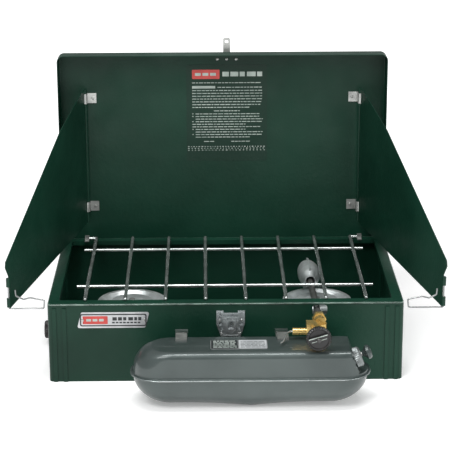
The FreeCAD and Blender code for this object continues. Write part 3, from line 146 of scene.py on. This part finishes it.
# ---------------------------------------------------------------- materials
def surface(made):
    """A material's own Principled shader."""
    return made.node_tree.nodes["Principled BSDF"]


def shader(name, colour, metallic=0.0, roughness=0.5, **sockets):
    """A material with one Principled shader; extra sockets are set by name."""
    made = bpy.data.materials.new(name)
    made.use_nodes = True
    principled = surface(made)
    principled.inputs["Base Color"].default_value = (*colour, 1)
    principled.inputs["Metallic"].default_value = metallic
    principled.inputs["Roughness"].default_value = roughness
    for socket, value in sockets.items():
        principled.inputs[socket.replace("_", " ")].default_value = value
    return made


def add_node(made, kind, **values):
    """A shader node with some of its inputs set by name."""
    new = made.node_tree.nodes.new(kind)
    for socket, value in values.items():
        new.inputs[socket.replace("_", " ")].default_value = value
    return new


def link(made, source, output, target, socket):
    """Join one node's output to another's input."""
    made.node_tree.links.new(source.outputs[output], target.inputs[socket])


def noise(made, scale, detail=3.0, stretch=(1, 1, 1)):
    """Noise over the object's own coordinates, stretched along the axes."""
    place = add_node(made, "ShaderNodeTexCoord")
    mapping = add_node(made, "ShaderNodeMapping", Scale=stretch)
    pattern = add_node(made, "ShaderNodeTexNoise", Scale=scale, Detail=detail)
    link(made, place, "Object", mapping, "Vector")
    link(made, mapping, "Vector", pattern, "Vector")
    return pattern


def vary_colour(made, pattern, dark, light):
    """The base colour runs from dark to light with a pattern."""
    ramp = add_node(made, "ShaderNodeValToRGB")
    for stop, position, colour in zip(ramp.color_ramp.elements, (0.35, 0.65), (dark, light)):
        stop.position = position
        stop.color = (*colour, 1)
    link(made, pattern, "Fac", ramp, "Fac")
    link(made, ramp, "Color", surface(made), "Base Color")


def vary_roughness(made, pattern, low, high):
    """The roughness runs between two values with a pattern."""
    spread = add_node(made, "ShaderNodeMapRange", From_Min=0.3, From_Max=0.7, To_Min=low, To_Max=high)
    link(made, pattern, "Fac", spread, "Value")
    link(made, spread, "Result", surface(made), "Roughness")


def add_bump(made, *layers):
    """Bump from patterns, each with a strength and a height in metres."""
    last = None
    for pattern, strength, height in layers:
        bump = add_node(made, "ShaderNodeBump", Strength=strength, Distance=height)
        link(made, pattern, "Fac", bump, "Height")
        if last is not None:
            link(made, last, "Normal", bump, "Normal")
        last = bump
    link(made, last, "Normal", surface(made), "Normal")


def make_green_enamel(name, dark, light):
    """Dark green stove enamel with a hammered orange peel and soft large waves."""
    made = shader(name, light, roughness=0.4, Specular_IOR_Level=0.2)
    vary_colour(made, noise(made, 7, 5), dark, light)
    vary_roughness(made, noise(made, 26, 4), 0.30, 0.46)
    add_bump(made, (noise(made, 240, 2), 0.45, 0.0006), (noise(made, 900, 2), 0.15, 0.0002),
             (noise(made, 11, 2), 0.45, 0.003))
    return made


def make_rim_highlight_enamel():
    """Green enamel painted much lighter as a painted highlight along a rolled edge, under a glossy
    coat.
    """
    made = shader("rim_highlight_enamel", (0.05, 0.09, 0.07), roughness=0.28, Coat_Weight=0.8,
                  Coat_Roughness=0.15)
    # Greens far lighter than the case enamel: a painted highlight, varied by noise.
    vary_colour(made, noise(made, 60, 4), (0.02, 0.05, 0.036), (0.12, 0.19, 0.155))
    vary_roughness(made, noise(made, 90, 3), 0.2, 0.36)
    add_bump(made, (noise(made, 500, 2), 0.2, 0.0003))
    return made


def make_metal(name, dark, light, rough, grain=(1, 1, 1)):
    """A bare or plated metal with faint grain and uneven polish."""
    middle = tuple((a + b) / 2 for a, b in zip(dark, light))
    made = shader(name, middle, metallic=0.8, roughness=sum(rough) / 2)
    vary_colour(made, noise(made, 45, 4), dark, light)
    vary_roughness(made, noise(made, 100, 4, grain), *rough)
    add_bump(made, (noise(made, 300, 3, grain), 0.05, 0.0003))
    return made


def make_tank_paint():
    """Silver-grey metallic paint over a pressed shell."""
    made = shader("tank_nickel", (0.05, 0.07, 0.068), metallic=0.4, roughness=0.4,
                  Coat_Weight=0.55, Coat_Roughness=0.05)
    vary_colour(made, noise(made, 12, 5), (0.040, 0.056, 0.054), (0.062, 0.082, 0.079))
    vary_roughness(made, noise(made, 50, 4), 0.34, 0.50)
    add_bump(made, (noise(made, 1100, 2), 0.10, 0.0002), (noise(made, 20, 1), 0.12, 0.0015))
    return made


def make_plastic(name, dark, light, rough):
    """Moulded plastic with a fine texture."""
    made = shader(name, dark, roughness=sum(rough) / 2)
    vary_colour(made, noise(made, 60, 3), dark, light)
    vary_roughness(made, noise(made, 120, 3), *rough)
    add_bump(made, (noise(made, 1500, 2), 0.10, 0.0002))
    return made


# Dark and light tones, the roughness range and, for a brushed metal, its grain.
METALS = {
    "etched_plate": ((0.40, 0.41, 0.42), (0.55, 0.56, 0.57), (0.3, 0.42), (1, 30, 30)),
    "zinc_plate": ((0.34, 0.35, 0.34), (0.52, 0.53, 0.51), (0.28, 0.45)),
    "bright_wire": ((0.30, 0.33, 0.32), (0.55, 0.58, 0.57), (0.12, 0.22)),
    "wire_steel": ((0.20, 0.21, 0.21), (0.34, 0.35, 0.35), (0.2, 0.34)),
    "burner_steel": ((0.58, 0.62, 0.62), (0.82, 0.86, 0.86), (0.3, 0.5)),
    "generator_steel": ((0.12, 0.12, 0.12), (0.24, 0.24, 0.23), (0.35, 0.5)),
    "dark_steel": ((0.06, 0.06, 0.06), (0.12, 0.12, 0.12), (0.3, 0.44)),
    "latch_steel": ((0.50, 0.54, 0.55), (0.62, 0.66, 0.67), (0.24, 0.34)),
    # The seam metal is far lighter than the tank paint: a painted highlight on the seam's edge.
    "seam_highlight_metal": ((0.30, 0.34, 0.335), (0.50, 0.54, 0.535), (0.16, 0.28)),
    "cap_metal": ((0.16, 0.18, 0.18), (0.26, 0.28, 0.28), (0.32, 0.5)),
    "brass": ((0.58, 0.40, 0.13), (0.80, 0.60, 0.24), (0.2, 0.34)),
}
PLASTICS = {
    "black_plastic": ((0.008, 0.008, 0.008), (0.016, 0.016, 0.016), (0.32, 0.5)),
    "pump_leather": ((0.05, 0.025, 0.012), (0.09, 0.05, 0.03), (0.6, 0.8)),
    "washer_rubber": ((0.012, 0.012, 0.012), (0.02, 0.02, 0.02), (0.6, 0.8)),
    "print_white": ((0.30, 0.36, 0.33), (0.46, 0.52, 0.48), (0.45, 0.6)),
    "print_red": ((0.42, 0.035, 0.030), (0.55, 0.060, 0.050), (0.35, 0.5)),
    "print_silver": ((0.34, 0.36, 0.37), (0.48, 0.50, 0.51), (0.3, 0.42)),
    "print_dark": ((0.010, 0.013, 0.014), (0.020, 0.024, 0.026), (0.4, 0.55)),
}
MATERIALS = {
    "green_enamel": make_green_enamel("green_enamel", (0.0035, 0.0250, 0.0145),
                                      (0.0080, 0.0420, 0.0255)),
    "printed_label": make_green_enamel("printed_label", (0.0060, 0.0250, 0.0155),
                                       (0.0095, 0.0340, 0.0225)),
    # The rim enamel's lighter green is a painted highlight.
    "rim_highlight_enamel": make_rim_highlight_enamel(),
    "tank_nickel": make_tank_paint(),
}
for material_name, tones in METALS.items():
    MATERIALS[material_name] = make_metal(material_name, *tones)
for material_name, tones in PLASTICS.items():
    MATERIALS[material_name] = make_plastic(material_name, *tones)

# CAD nodes whose finish differs a little from their slot's usual one.
OTHER_LOOK = {"latch_base": "latch_steel", "latch_lever": "latch_steel", "knob_screw": "dark_steel",
              "baffle_wire_left": "wire_steel", "baffle_wire_right": "wire_steel"}
for node_name, node_object in NODES.items():
    for material_slot in node_object.material_slots:
        material_slot.material = MATERIALS[OTHER_LOOK.get(node_name, SLOT_OF[node_name])]


# ------------------------------------------------------------ mesh helpers
RIGHT, BACK, UP, FRONT = (1, 0, 0), (0, 1, 0), (0, 0, 1), (0, -1, 0)


def ride_on(piece, body):
    """Put a new object in the scene, on a body."""
    bpy.context.scene.collection.objects.link(piece)
    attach(piece, body)
    return piece


def add_piece(name, form, body, look, sharp=None):
    """An object from a finished form; sharp is the angle in degrees where smoothing stops."""
    bmesh.ops.recalc_face_normals(form, faces=form.faces)
    mesh = bpy.data.meshes.new(name)
    form.to_mesh(mesh)
    form.free()
    mesh.materials.append(MATERIALS[look])
    for face in mesh.polygons:
        face.use_smooth = sharp is not None
    if sharp is not None:
        mesh.set_sharp_from_angle(angle=math.radians(sharp))
    return ride_on(bpy.data.objects.new(name, mesh), body)


def join_rings(form, rows):
    """Faces between each ring of vertices and the next."""
    for first, second in zip(rows, rows[1:]):
        count = len(first)
        for i in range(count):
            form.faces.new((first[i], first[(i + 1) % count], second[(i + 1) % count], second[i]))


class Face:
    """A flat face to print on: a corner, two directions in it and its outward normal."""

    def __init__(self, corner, across, up, normal):
        self.corner = Vector(corner)
        self.across = Vector(across)
        self.up = Vector(up)
        self.normal = Vector(normal)

    def at(self, u, v, out):
        """A point by its distance along, up and out of the face."""
        return self.corner + self.across * u + self.up * v + self.normal * out


def rounded_outline(low_u, low_v, high_u, high_v, radius, steps=4):
    """Points round a rectangle with rounded corners."""
    points = []
    for middle_u, middle_v, first in ((high_u - radius, high_v - radius, 0),
                                      (low_u + radius, high_v - radius, 90),
                                      (low_u + radius, low_v + radius, 180),
                                      (high_u - radius, low_v + radius, 270)):
        for step in range(steps + 1):
            angle = math.radians(first + 90 * step / steps)
            points.append((middle_u + radius * math.cos(angle), middle_v + radius * math.sin(angle)))
    return points


def print_shapes(name, body, look, face, outlines, out, thick=0.06 * MM):
    """Thin raised shapes on a face, one for each outline."""
    form = bmesh.new()
    for outline in outlines:
        rows = [[form.verts.new(face.at(u, v, level)) for u, v in outline]
                for level in (out, out + thick)]
        form.faces.new(rows[1])
        join_rings(form, rows)
    return add_piece(name, form, body, look)


def flat_band(name, body, look, face, outer, inner, out, thick):
    """A flat closed band between two outlines that have the same number of points."""
    form = bmesh.new()
    join_rings(form, [[form.verts.new(face.at(u, v, level)) for u, v in outline]
                      for outline, level in ((outer, out), (outer, out + thick),
                                             (inner, out + thick), (inner, out))])
    return add_piece(name, form, body, look)


def bar(u, v, width, height):
    """A plain upright rectangle's outline."""
    return [(u, v), (u + width, v), (u + width, v + height), (u, v + height)]


def dash_row(chance, start, end, v, height, word=(2.4, 7.5), gap=1.1):
    """A row of short bars of uneven length, standing for a line of small print."""
    row = []
    u = start
    while u < end - 1.5:
        width = min(chance.uniform(*word), end - u)
        row.append(bar(u * MM, v * MM, width * MM, height * MM))
        u += width + gap
    return row


# ---------------------------------------------------------- printed graphics
BULLET_LINES = (0, 1, 3, 6, 8)
FULL_LINES = (4, 5)
HAIR = 0.01 * MM


def make_lid_print():
    """The instruction panel: a plain red block, heavy bars and rows of small dashes."""
    low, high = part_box("lid_label")
    face = Face(low, RIGHT, UP, FRONT)
    width, height = (high[0] - low[0]) / MM, (high[2] - low[2]) / MM
    chance = random.Random(7)
    top = height - 4
    red = [rounded_outline(8 * MM, (top - 16) * MM, 46 * MM, (top - 3) * MM, 1.2 * MM)]
    print_shapes("lid_print_block", "lid", "print_red", face, red, 0.02 * MM)
    white = [bar((12 + 10.5 * i) * MM, (top - 11.5) * MM, 8 * MM, 4 * MM) for i in range(3)]
    white += [bar(u * MM, (top - 12.5) * MM, wide * MM, 6.5 * MM)
              for u, wide in ((50, 9), (61, 11), (74, 7), (84, 12), (98, 7))]
    rows = dash_row(chance, 8, width - 8, top - 22, 1.0)
    rows += [bar(8 * MM, (top - 29.5) * MM, 32 * MM, 3.6 * MM)]
    rows += dash_row(chance, 43, width - 7, top - 28.5, 1.1)
    v = top - 33
    for line in range(7):
        rows += dash_row(chance, 8, width - (7 if line < 6 else 24), v, 1.1)
        v -= 4.0
    rows += dash_row(chance, 38, width - 38, v - 1, 1.1)
    v -= 5.2
    for line in range(10):
        if line in BULLET_LINES:
            rows.append(bar(8 * MM, v * MM, 1.4 * MM, 1.3 * MM))
        rows += dash_row(chance, 8 if line in FULL_LINES else 12.5,
                         width - chance.choice((6, 9, 22, 30)), v, 1.0)
        v -= 3.7
    rows += dash_row(chance, 24, 38, v - 2.5, 0.9) + dash_row(chance, 62, 88, v - 2.5, 0.9)
    v -= 10
    for line in range(3):
        rows += dash_row(chance, 1.5, width - 2, v, 1.1, (0.7, 2.2), chance.uniform(2.2, 3.4))
        v -= 2.6
    print_shapes("lid_print_bars", "lid", "print_white", face, rows, 0.02 * MM)
    print_shapes("lid_print_marks", "lid", "print_white", face, white, 0.10 * MM)


def make_nameplate_print():
    """Black line, red block and dark bars on the silver plate."""
    low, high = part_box("nameplate")
    wide, tall = high[0] - low[0], high[2] - low[2]
    face = Face(low, RIGHT, UP, FRONT)
    outer = rounded_outline(3.0 * MM, 2.2 * MM, wide - 3.0 * MM, tall - 2.2 * MM, 2.4 * MM)
    inner = rounded_outline(4.6 * MM, 3.8 * MM, wide - 4.6 * MM, tall - 3.8 * MM, 1.4 * MM)
    flat_band("nameplate_line", "case", "print_dark", face, outer, inner, HAIR,
              0.12 * MM)
    red = [rounded_outline(6.4 * MM, 5.2 * MM, 38 * MM, tall - 5.2 * MM, 0.8 * MM)]
    print_shapes("nameplate_block", "case", "print_red", face, red, HAIR, 0.12 * MM)
    middle = tall / 2 / MM
    bars = [bar(u * MM, (middle - 0.6) * MM, w * MM, 4.4 * MM)
            for u, w in ((44, 5.5), (51, 5), (57.5, 4), (64, 6), (71.5, 3.5), (76.5, 4))]
    bars += [bar((43.5 + 4.6 * i) * MM, (middle - 4.4) * MM, 3.4 * MM, 2 * MM) for i in range(8)]
    print_shapes("nameplate_bars", "case", "print_dark", face, bars, HAIR, 0.10 * MM)
    pale = [bar((11 + 8 * i) * MM, (middle - 1.6) * MM, 6 * MM, 3.2 * MM) for i in range(3)]
    print_shapes("nameplate_marks", "case", "print_white", face, pale, 0.13 * MM)


def make_tank_print():
    """Dark left half with pale rows, silver right half with dark rows."""
    low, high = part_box("tank_label")
    wide, deep = (high[0] - low[0]) / MM, (high[1] - low[1]) / MM
    face = Face((low[0], low[1], high[2]), RIGHT, BACK, UP)
    dark = [rounded_outline(1 * MM, 1 * MM, wide * 0.48 * MM, (deep - 1) * MM, 0.8 * MM)]
    print_shapes("tank_print_block", "tank", "print_dark", face, dark, HAIR)
    silver = [rounded_outline(wide * 0.50 * MM, 1 * MM, (wide - 1) * MM, (deep - 1) * MM, 0.8 * MM)]
    print_shapes("tank_print_field", "tank", "print_silver", face, silver, HAIR)
    chance = random.Random(11)
    pale = []
    for line in range(6):
        pale += dash_row(chance, 3.5, wide * 0.46, 4 + 4.1 * line, 1.4 if line != 5 else 2.2)
    print_shapes("tank_print_pale", "tank", "print_white", face, pale, 0.08 * MM)
    lines = []
    for line in range(5):
        lines += dash_row(chance, wide * 0.53, wide - 3, 4.5 + 4.4 * line, 1.2)
    print_shapes("tank_print_dark", "tank", "print_dark", face, lines, 0.08 * MM)


# ---------------------------------------------------------- knobs and caps
RIB_STEPS = 4  # points round each flute
# The sloping shoulder at the tank's right end, in millimetres.
SHOULDER_RUN, SHOULDER_RISE, SHOULDER_INSET = 11.8, 29.0, 23.0


def ribbed_turning(name, body, look, place, direction, profile, ribs, depth, ribbed):
    """A turned form whose outer wall is cut by even flutes.

    profile is (radius, height) pairs from the axis round to the axis, in millimetres, and
    ribbed holds the numbers of the pairs that the flutes cut into by depth."""
    form = bmesh.new()
    around = ribs * RIB_STEPS
    turn = Vector(direction).to_track_quat("Z", "Y").to_matrix().to_4x4()
    stand = Matrix.Translation(Vector(place)) @ turn
    rows = []
    for number, (radius, height) in enumerate(profile):
        row = []
        for step in range(around):
            angle = 2 * math.pi * step / around
            swing = 0.5 - 0.5 * math.cos(2 * math.pi * step / RIB_STEPS)
            reach = radius - (depth * swing if number in ribbed else 0)
            point = Vector((reach * math.cos(angle), reach * math.sin(angle), height)) * MM
            row.append(form.verts.new(stand @ point))
        rows.append(row)
    join_rings(form, rows)
    form.faces.new(rows[-1])
    form.faces.new(rows[0])
    return add_piece(name, form, body, look, sharp=38)


def box_middle(node):
    """The middle of a node's box and its size."""
    low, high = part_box(node)
    return (Vector(low) + Vector(high)) / 2, Vector(high) - Vector(low)


def make_control_knob():
    """Black fluted knob with a slanted, pale-edged ridge across its dished face."""
    middle, extent = box_middle("control_knob")
    radius = extent.x / 2 / MM
    thick = extent.y / MM
    back = Vector((middle.x, middle.y + extent.y / 2, middle.z))
    grip = thick - 3.2
    profile = [(2.6, 0.2), (radius * 0.52, 0.2), (radius * 0.52, 3.2), (radius * 0.90, 4.0),
               (radius - 0.2, 5.6), (radius - 0.2, grip - 1.4), (radius - 1.6, grip),
               (radius - 3.2, grip), (radius - 4.2, grip - 1.2), (4.6, grip - 1.2), (4.6, grip - 2.2),
               (1.2, grip - 2.2)]
    knob = ribbed_turning("control_knob_grip", "control", "black_plastic",
                          back, FRONT, profile, 28, 1.1, (4, 5, 6))
    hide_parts("control_knob")
    slant = math.radians(17)
    across = Vector((math.cos(slant), 0, math.sin(slant)))
    up = Vector((-math.sin(slant), 0, math.cos(slant)))
    centre = Vector((middle.x, back.y - (grip - 1.25) * MM, middle.z))
    reach = (radius - 3.4) * MM
    face = Face(centre, across, up, FRONT)
    ridge = [rounded_outline(-reach, 0.4 * MM, reach, 4.4 * MM, 1.6 * MM)]
    ridge_height = 3.2 * MM
    print_shapes("control_knob_ridge", "control", "black_plastic", face, ridge, 0.0,
                 ridge_height)
    edge = [rounded_outline(-reach + 0.8 * MM, 3.0 * MM, reach - 0.8 * MM, 4.1 * MM, 0.4 * MM)]
    print_shapes("control_knob_line", "control", "print_white", face, edge,
                 ridge_height, 0.08 * MM)
    low_line = [rounded_outline(-reach + 3 * MM, -2.6 * MM, reach - 3 * MM, -1.7 * MM, 0.4 * MM)]
    print_shapes("control_knob_line_low", "control", "print_white", face, low_line,
                 0.02 * MM, 0.08 * MM)


def make_filler_cap():
    """Fluted metal cap on the tank's sloping shoulder."""
    middle, extent = box_middle("filler_cap")
    slope = math.atan2(SHOULDER_RUN, SHOULDER_RISE)
    direction = Vector((math.cos(slope), 0, math.sin(slope)))
    radius = extent.y / 2 / MM
    thick = (extent.x / MM - 2 * radius * math.sin(slope)) / math.cos(slope)
    base = middle - direction * (thick / 2 * MM)
    profile = [(radius - 2.2, 0.1), (radius - 0.1, 0.6), (radius, 1.6), (radius, thick - 2.4),
               (radius - 1.0, thick - 1.0), (radius - 2.6, thick - 0.2), (radius - 4.4, thick - 0.2),
               (radius - 5.2, thick - 0.9), (1.0, thick - 0.9)]
    cap = ribbed_turning("filler_cap_fluted", "filler", "cap_metal", base, direction,
                         profile, 30, 0.8, (1, 2, 3))
    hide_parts("filler_cap")


def make_aux_knob():
    """Black fluted knob of the second burner's valve."""
    middle, extent = box_middle("aux_valve_knob")
    radius = extent.z / 2 / MM
    thick = extent.x / MM
    base = Vector((middle.x + extent.x / 2, middle.y, middle.z))
    profile = [(2.6, 0.1), (radius * 0.5, 0.1), (radius * 0.5, 2.0), (radius - 1.2, 3.0),
               (radius, 4.4), (radius, thick - 1.6), (radius - 1.4, thick - 0.1),
               (radius - 3, thick - 0.1), (radius - 4, thick - 1.1), (1.0, thick - 1.1)]
    knob = ribbed_turning("aux_valve_knob_fluted", "aux_valve", "black_plastic",
                          base, (-1, 0, 0), profile, 22, 0.9, (4, 5, 6))
    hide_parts("aux_valve_knob")


# -------------------------------------------------------------------- tank
# Sizes in millimetres; the lip is its distances out from the wall and up from the seam.
FLANGE, TANK_CORNER, TOP_EDGE = 3.5, 31, 7.5
FLANGE_LIP = ((3.5, 0.0), (3.5, 0.55), (3.1, 0.9), (1.7, 1.0), (0.5, 1.5), (0.0, 2.8))
LIP_HEIGHT = FLANGE_LIP[-1][1]
END_LEAN, SIDE_LEAN = 17, 2.5
SUMP_DEPTH, SUMP_REACH = 4.7, 78
BASE_END, BASE_SIDE = 40, 24
# Points along a long side, a short side and round a corner.
OUTLINE_ALONG, OUTLINE_ACROSS, OUTLINE_TURN = 44, 4, 10


def tank_outline(left, right, front, back, radius):
    """Points round the tank's plan, always the same number, starting at the back right."""
    points = []
    radius = max(0.5, min(radius, (back - front) / 2 - 0.2, (right - left) / 2 - 0.2))
    corners = ((right - radius, back - radius, 0), (left + radius, back - radius, 90),
               (left + radius, front + radius, 180), (right - radius, front + radius, 270))
    for number, (x, y, first) in enumerate(corners):
        for step in range(OUTLINE_TURN + 1):
            angle = math.radians(first + 90 * step / OUTLINE_TURN)
            points.append(Vector((x + radius * math.cos(angle), y + radius * math.sin(angle))))
        after = corners[(number + 1) % 4]
        angle = math.radians(after[2])
        end = Vector((after[0] + radius * math.cos(angle), after[1] + radius * math.sin(angle)))
        count = OUTLINE_ALONG if number in (0, 2) else OUTLINE_ACROSS
        begin = points[-1]
        points += [begin.lerp(end, step / count) for step in range(1, count)]
    return points


def shell_from_rings(name, node, rings):
    """A smooth closed pressing through rings of points, standing for a CAD node."""
    form = bmesh.new()
    rows = [[form.verts.new(Vector(point) * MM) for point in ring] for ring in rings]
    join_rings(form, rows)
    form.faces.new(rows[-1])
    form.faces.new(rows[0])
    bmesh.ops.remove_doubles(form, verts=form.verts, dist=0.02 * MM)
    piece = add_piece(name, form, "tank", "tank_nickel", sharp=32)
    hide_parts(node)


def tank_plan():
    """The tank's plan at the seam, its seam height, top and bottom, in millimetres."""
    low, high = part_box("tank_upper_shell")
    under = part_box("tank_lower_shell")[0]
    left, front, seam = (value / MM for value in low)
    right, back, top = (value / MM for value in high)
    return (left + FLANGE, right - FLANGE, front + FLANGE, back - FLANGE, seam, top, under[2] / MM)


def make_tank_upper():
    """Upper pressing: leaning left end, soft top edge and a flat sloping right shoulder."""
    left, right, front, back, seam, top, _ = tank_plan()
    foot = top - SHOULDER_RISE
    rows = [(-out, seam + up, False) for out, up in FLANGE_LIP]
    rows += [(0, foot - 0.6, False), (0, foot, True)]
    rows += [(0, foot + (top - TOP_EDGE - foot) * part / 6, True) for part in range(1, 7)]
    for step in range(1, 9):
        angle = math.radians(90 * step / 8)
        rows.append((TOP_EDGE * (1 - math.cos(angle)), top - TOP_EDGE * (1 - math.sin(angle)), True))
    rows += [(TOP_EDGE + 6, top, True), (TOP_EDGE + 14, top, True)]
    rings = []
    for inset, z, clipped in rows:
        share = max(0.0, (z - seam - 3) / (top - seam - 3))
        outline = tank_outline(left + inset + END_LEAN * share ** 2.4, right - inset,
                               front + inset + SIDE_LEAN * share, back - inset - SIDE_LEAN * share,
                               TANK_CORNER - inset)
        facet = right - SHOULDER_INSET + SHOULDER_RUN * (top - z) / SHOULDER_RISE
        rings.append([(min(point.x, facet) if clipped else point.x, point.y, z) for point in outline])
    shell_from_rings("tank_upper_pressing", "tank_upper_shell", rings)


def make_tank_lower():
    """Lower pressing: wide round ends and a shallow pointed sump."""
    left, right, front, back, seam, _, lowest = tank_plan()
    bottom = lowest + SUMP_DEPTH
    middle_x = (left + right) / 2
    drop = seam - bottom
    rows = [(-out, -out, seam - up) for out, up in FLANGE_LIP]
    for step in range(1, 15):
        angle = math.radians(90 * step / 14)
        deep = LIP_HEIGHT + (drop - LIP_HEIGHT) * math.sin(angle) ** 1.05
        rows.append((BASE_END * (1 - math.cos(angle)), BASE_SIDE * (1 - math.cos(angle)), seam - deep))
    rows += [(BASE_END + 6, BASE_SIDE + 4, bottom), (BASE_END + 14, BASE_SIDE + 8, bottom)]
    rings = []
    for ends, sides, z in rows:
        ring = []
        for point in tank_outline(left + ends, right - ends, front + sides, back - sides,
                                  TANK_CORNER - sides * 0.6):
            away = abs(point.x - middle_x)
            sag = SUMP_DEPTH * (max(0.0, 1 - away / SUMP_REACH) ** 1.7)
            nearness = max(0.0, 1 - (z - bottom) / (drop * 0.5))
            ring.append((point.x, point.y, z - sag * nearness))
        rings.append(ring)
    shell_from_rings("tank_lower_pressing", "tank_lower_shell", rings)


def closed_tube(name, points, radius, body, look):
    """A round bar along a closed run of points, in metres."""
    curve = bpy.data.curves.new(name, "CURVE")
    curve.dimensions = "3D"
    curve.bevel_depth = radius
    curve.bevel_resolution = 3
    spline = curve.splines.new("POLY")
    spline.points.add(len(points) - 1)
    for target, point in zip(spline.points, points):
        target.co = (*point, 1)
    spline.use_cyclic_u = True
    curve.materials.append(MATERIALS[look])
    return ride_on(bpy.data.objects.new(name, curve), body)


def make_seam_edge():
    """The crimped edge of the tank's seam, its lighter metal a painted highlight."""
    left, right, front, back, seam, _, _ = tank_plan()
    out = FLANGE - 0.75
    points = [Vector((point.x, point.y, seam)) * MM for point in
              tank_outline(left - out, right + out, front - out, back + out, TANK_CORNER + out)]
    closed_tube("tank_seam_highlight_edge", points, 0.95 * MM, "tank", "seam_highlight_metal")


# ---------------------------------------------------------- case and latch
CASE_BACK = 135 * MM
CASE_CORNER = 6 * MM
BEAD_RADIUS, BEAD_INSET = 1.0 * MM, 1.15 * MM


def make_rim_bead():
    """The rolled edge round the top of the case, brightened by a painted highlight."""
    low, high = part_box("case_pan")
    outline = rounded_outline(low[0] + BEAD_INSET, low[1] + BEAD_INSET, high[0] - BEAD_INSET,
                              CASE_BACK - BEAD_INSET, CASE_CORNER, steps=6)
    points = [Vector((x, y, high[2] - BEAD_INSET)) for x, y in outline]
    closed_tube("case_rim_highlight_bead", points, BEAD_RADIUS, "case", "rim_highlight_enamel")


def make_latch_relief():
    """Raised loops, window and boss of the pressed draw latch."""
    low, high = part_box("latch_base")
    wide, tall = high[0] - low[0], high[2] - low[2]
    plate = Face((low[0], low[1] + 5.6 * MM, low[2]), RIGHT, UP, FRONT)
    start, end, band = 1.2 * MM, 8.6 * MM, 1.7 * MM
    for name, near, far in (("left", start, end), ("right", wide - end, wide - start)):
        outer = rounded_outline(near, tall * 0.42, far, tall - 1 * MM, 2.6 * MM)
        inner = rounded_outline(near + band, tall * 0.42 + band, far - band, tall - 1 * MM - band,
                                1.2 * MM)
        flat_band("latch_loop_" + name, "case", "latch_steel", plate, outer, inner, 0.0,
                  1.5 * MM)
    low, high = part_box("latch_lever")
    wide, tall = high[0] - low[0], high[2] - low[2]
    lever = Face((low[0], low[1] + 0.9 * MM, low[2]), RIGHT, UP, FRONT)
    outer = rounded_outline(wide * 0.16, tall * 0.28, wide * 0.84, tall - 2 * MM, 2.4 * MM)
    inner = rounded_outline(wide * 0.30, tall * 0.42, wide * 0.70, tall - 4.4 * MM, 1.4 * MM)
    flat_band("latch_window", "latch", "latch_steel", lever, outer, inner, 0.0, 1.3 * MM)
    profile = [(4.2, 0.0), (4.2, 0.3), (3.6, 0.6), (2.0, 0.8), (0.6, 0.85)]
    ribbed_turning("latch_boss", "latch", "latch_steel",
                   lever.at(wide / 2, tall * 0.34, -0.05 * MM), FRONT, profile, 12, 0.0, ())


make_tank_upper()
make_tank_lower()
make_seam_edge()
make_rim_bead()
make_latch_relief()
make_lid_print()
make_nameplate_print()
make_tank_print()
make_control_knob()
make_filler_cap()
make_aux_knob()
make_camera()
make_studio()
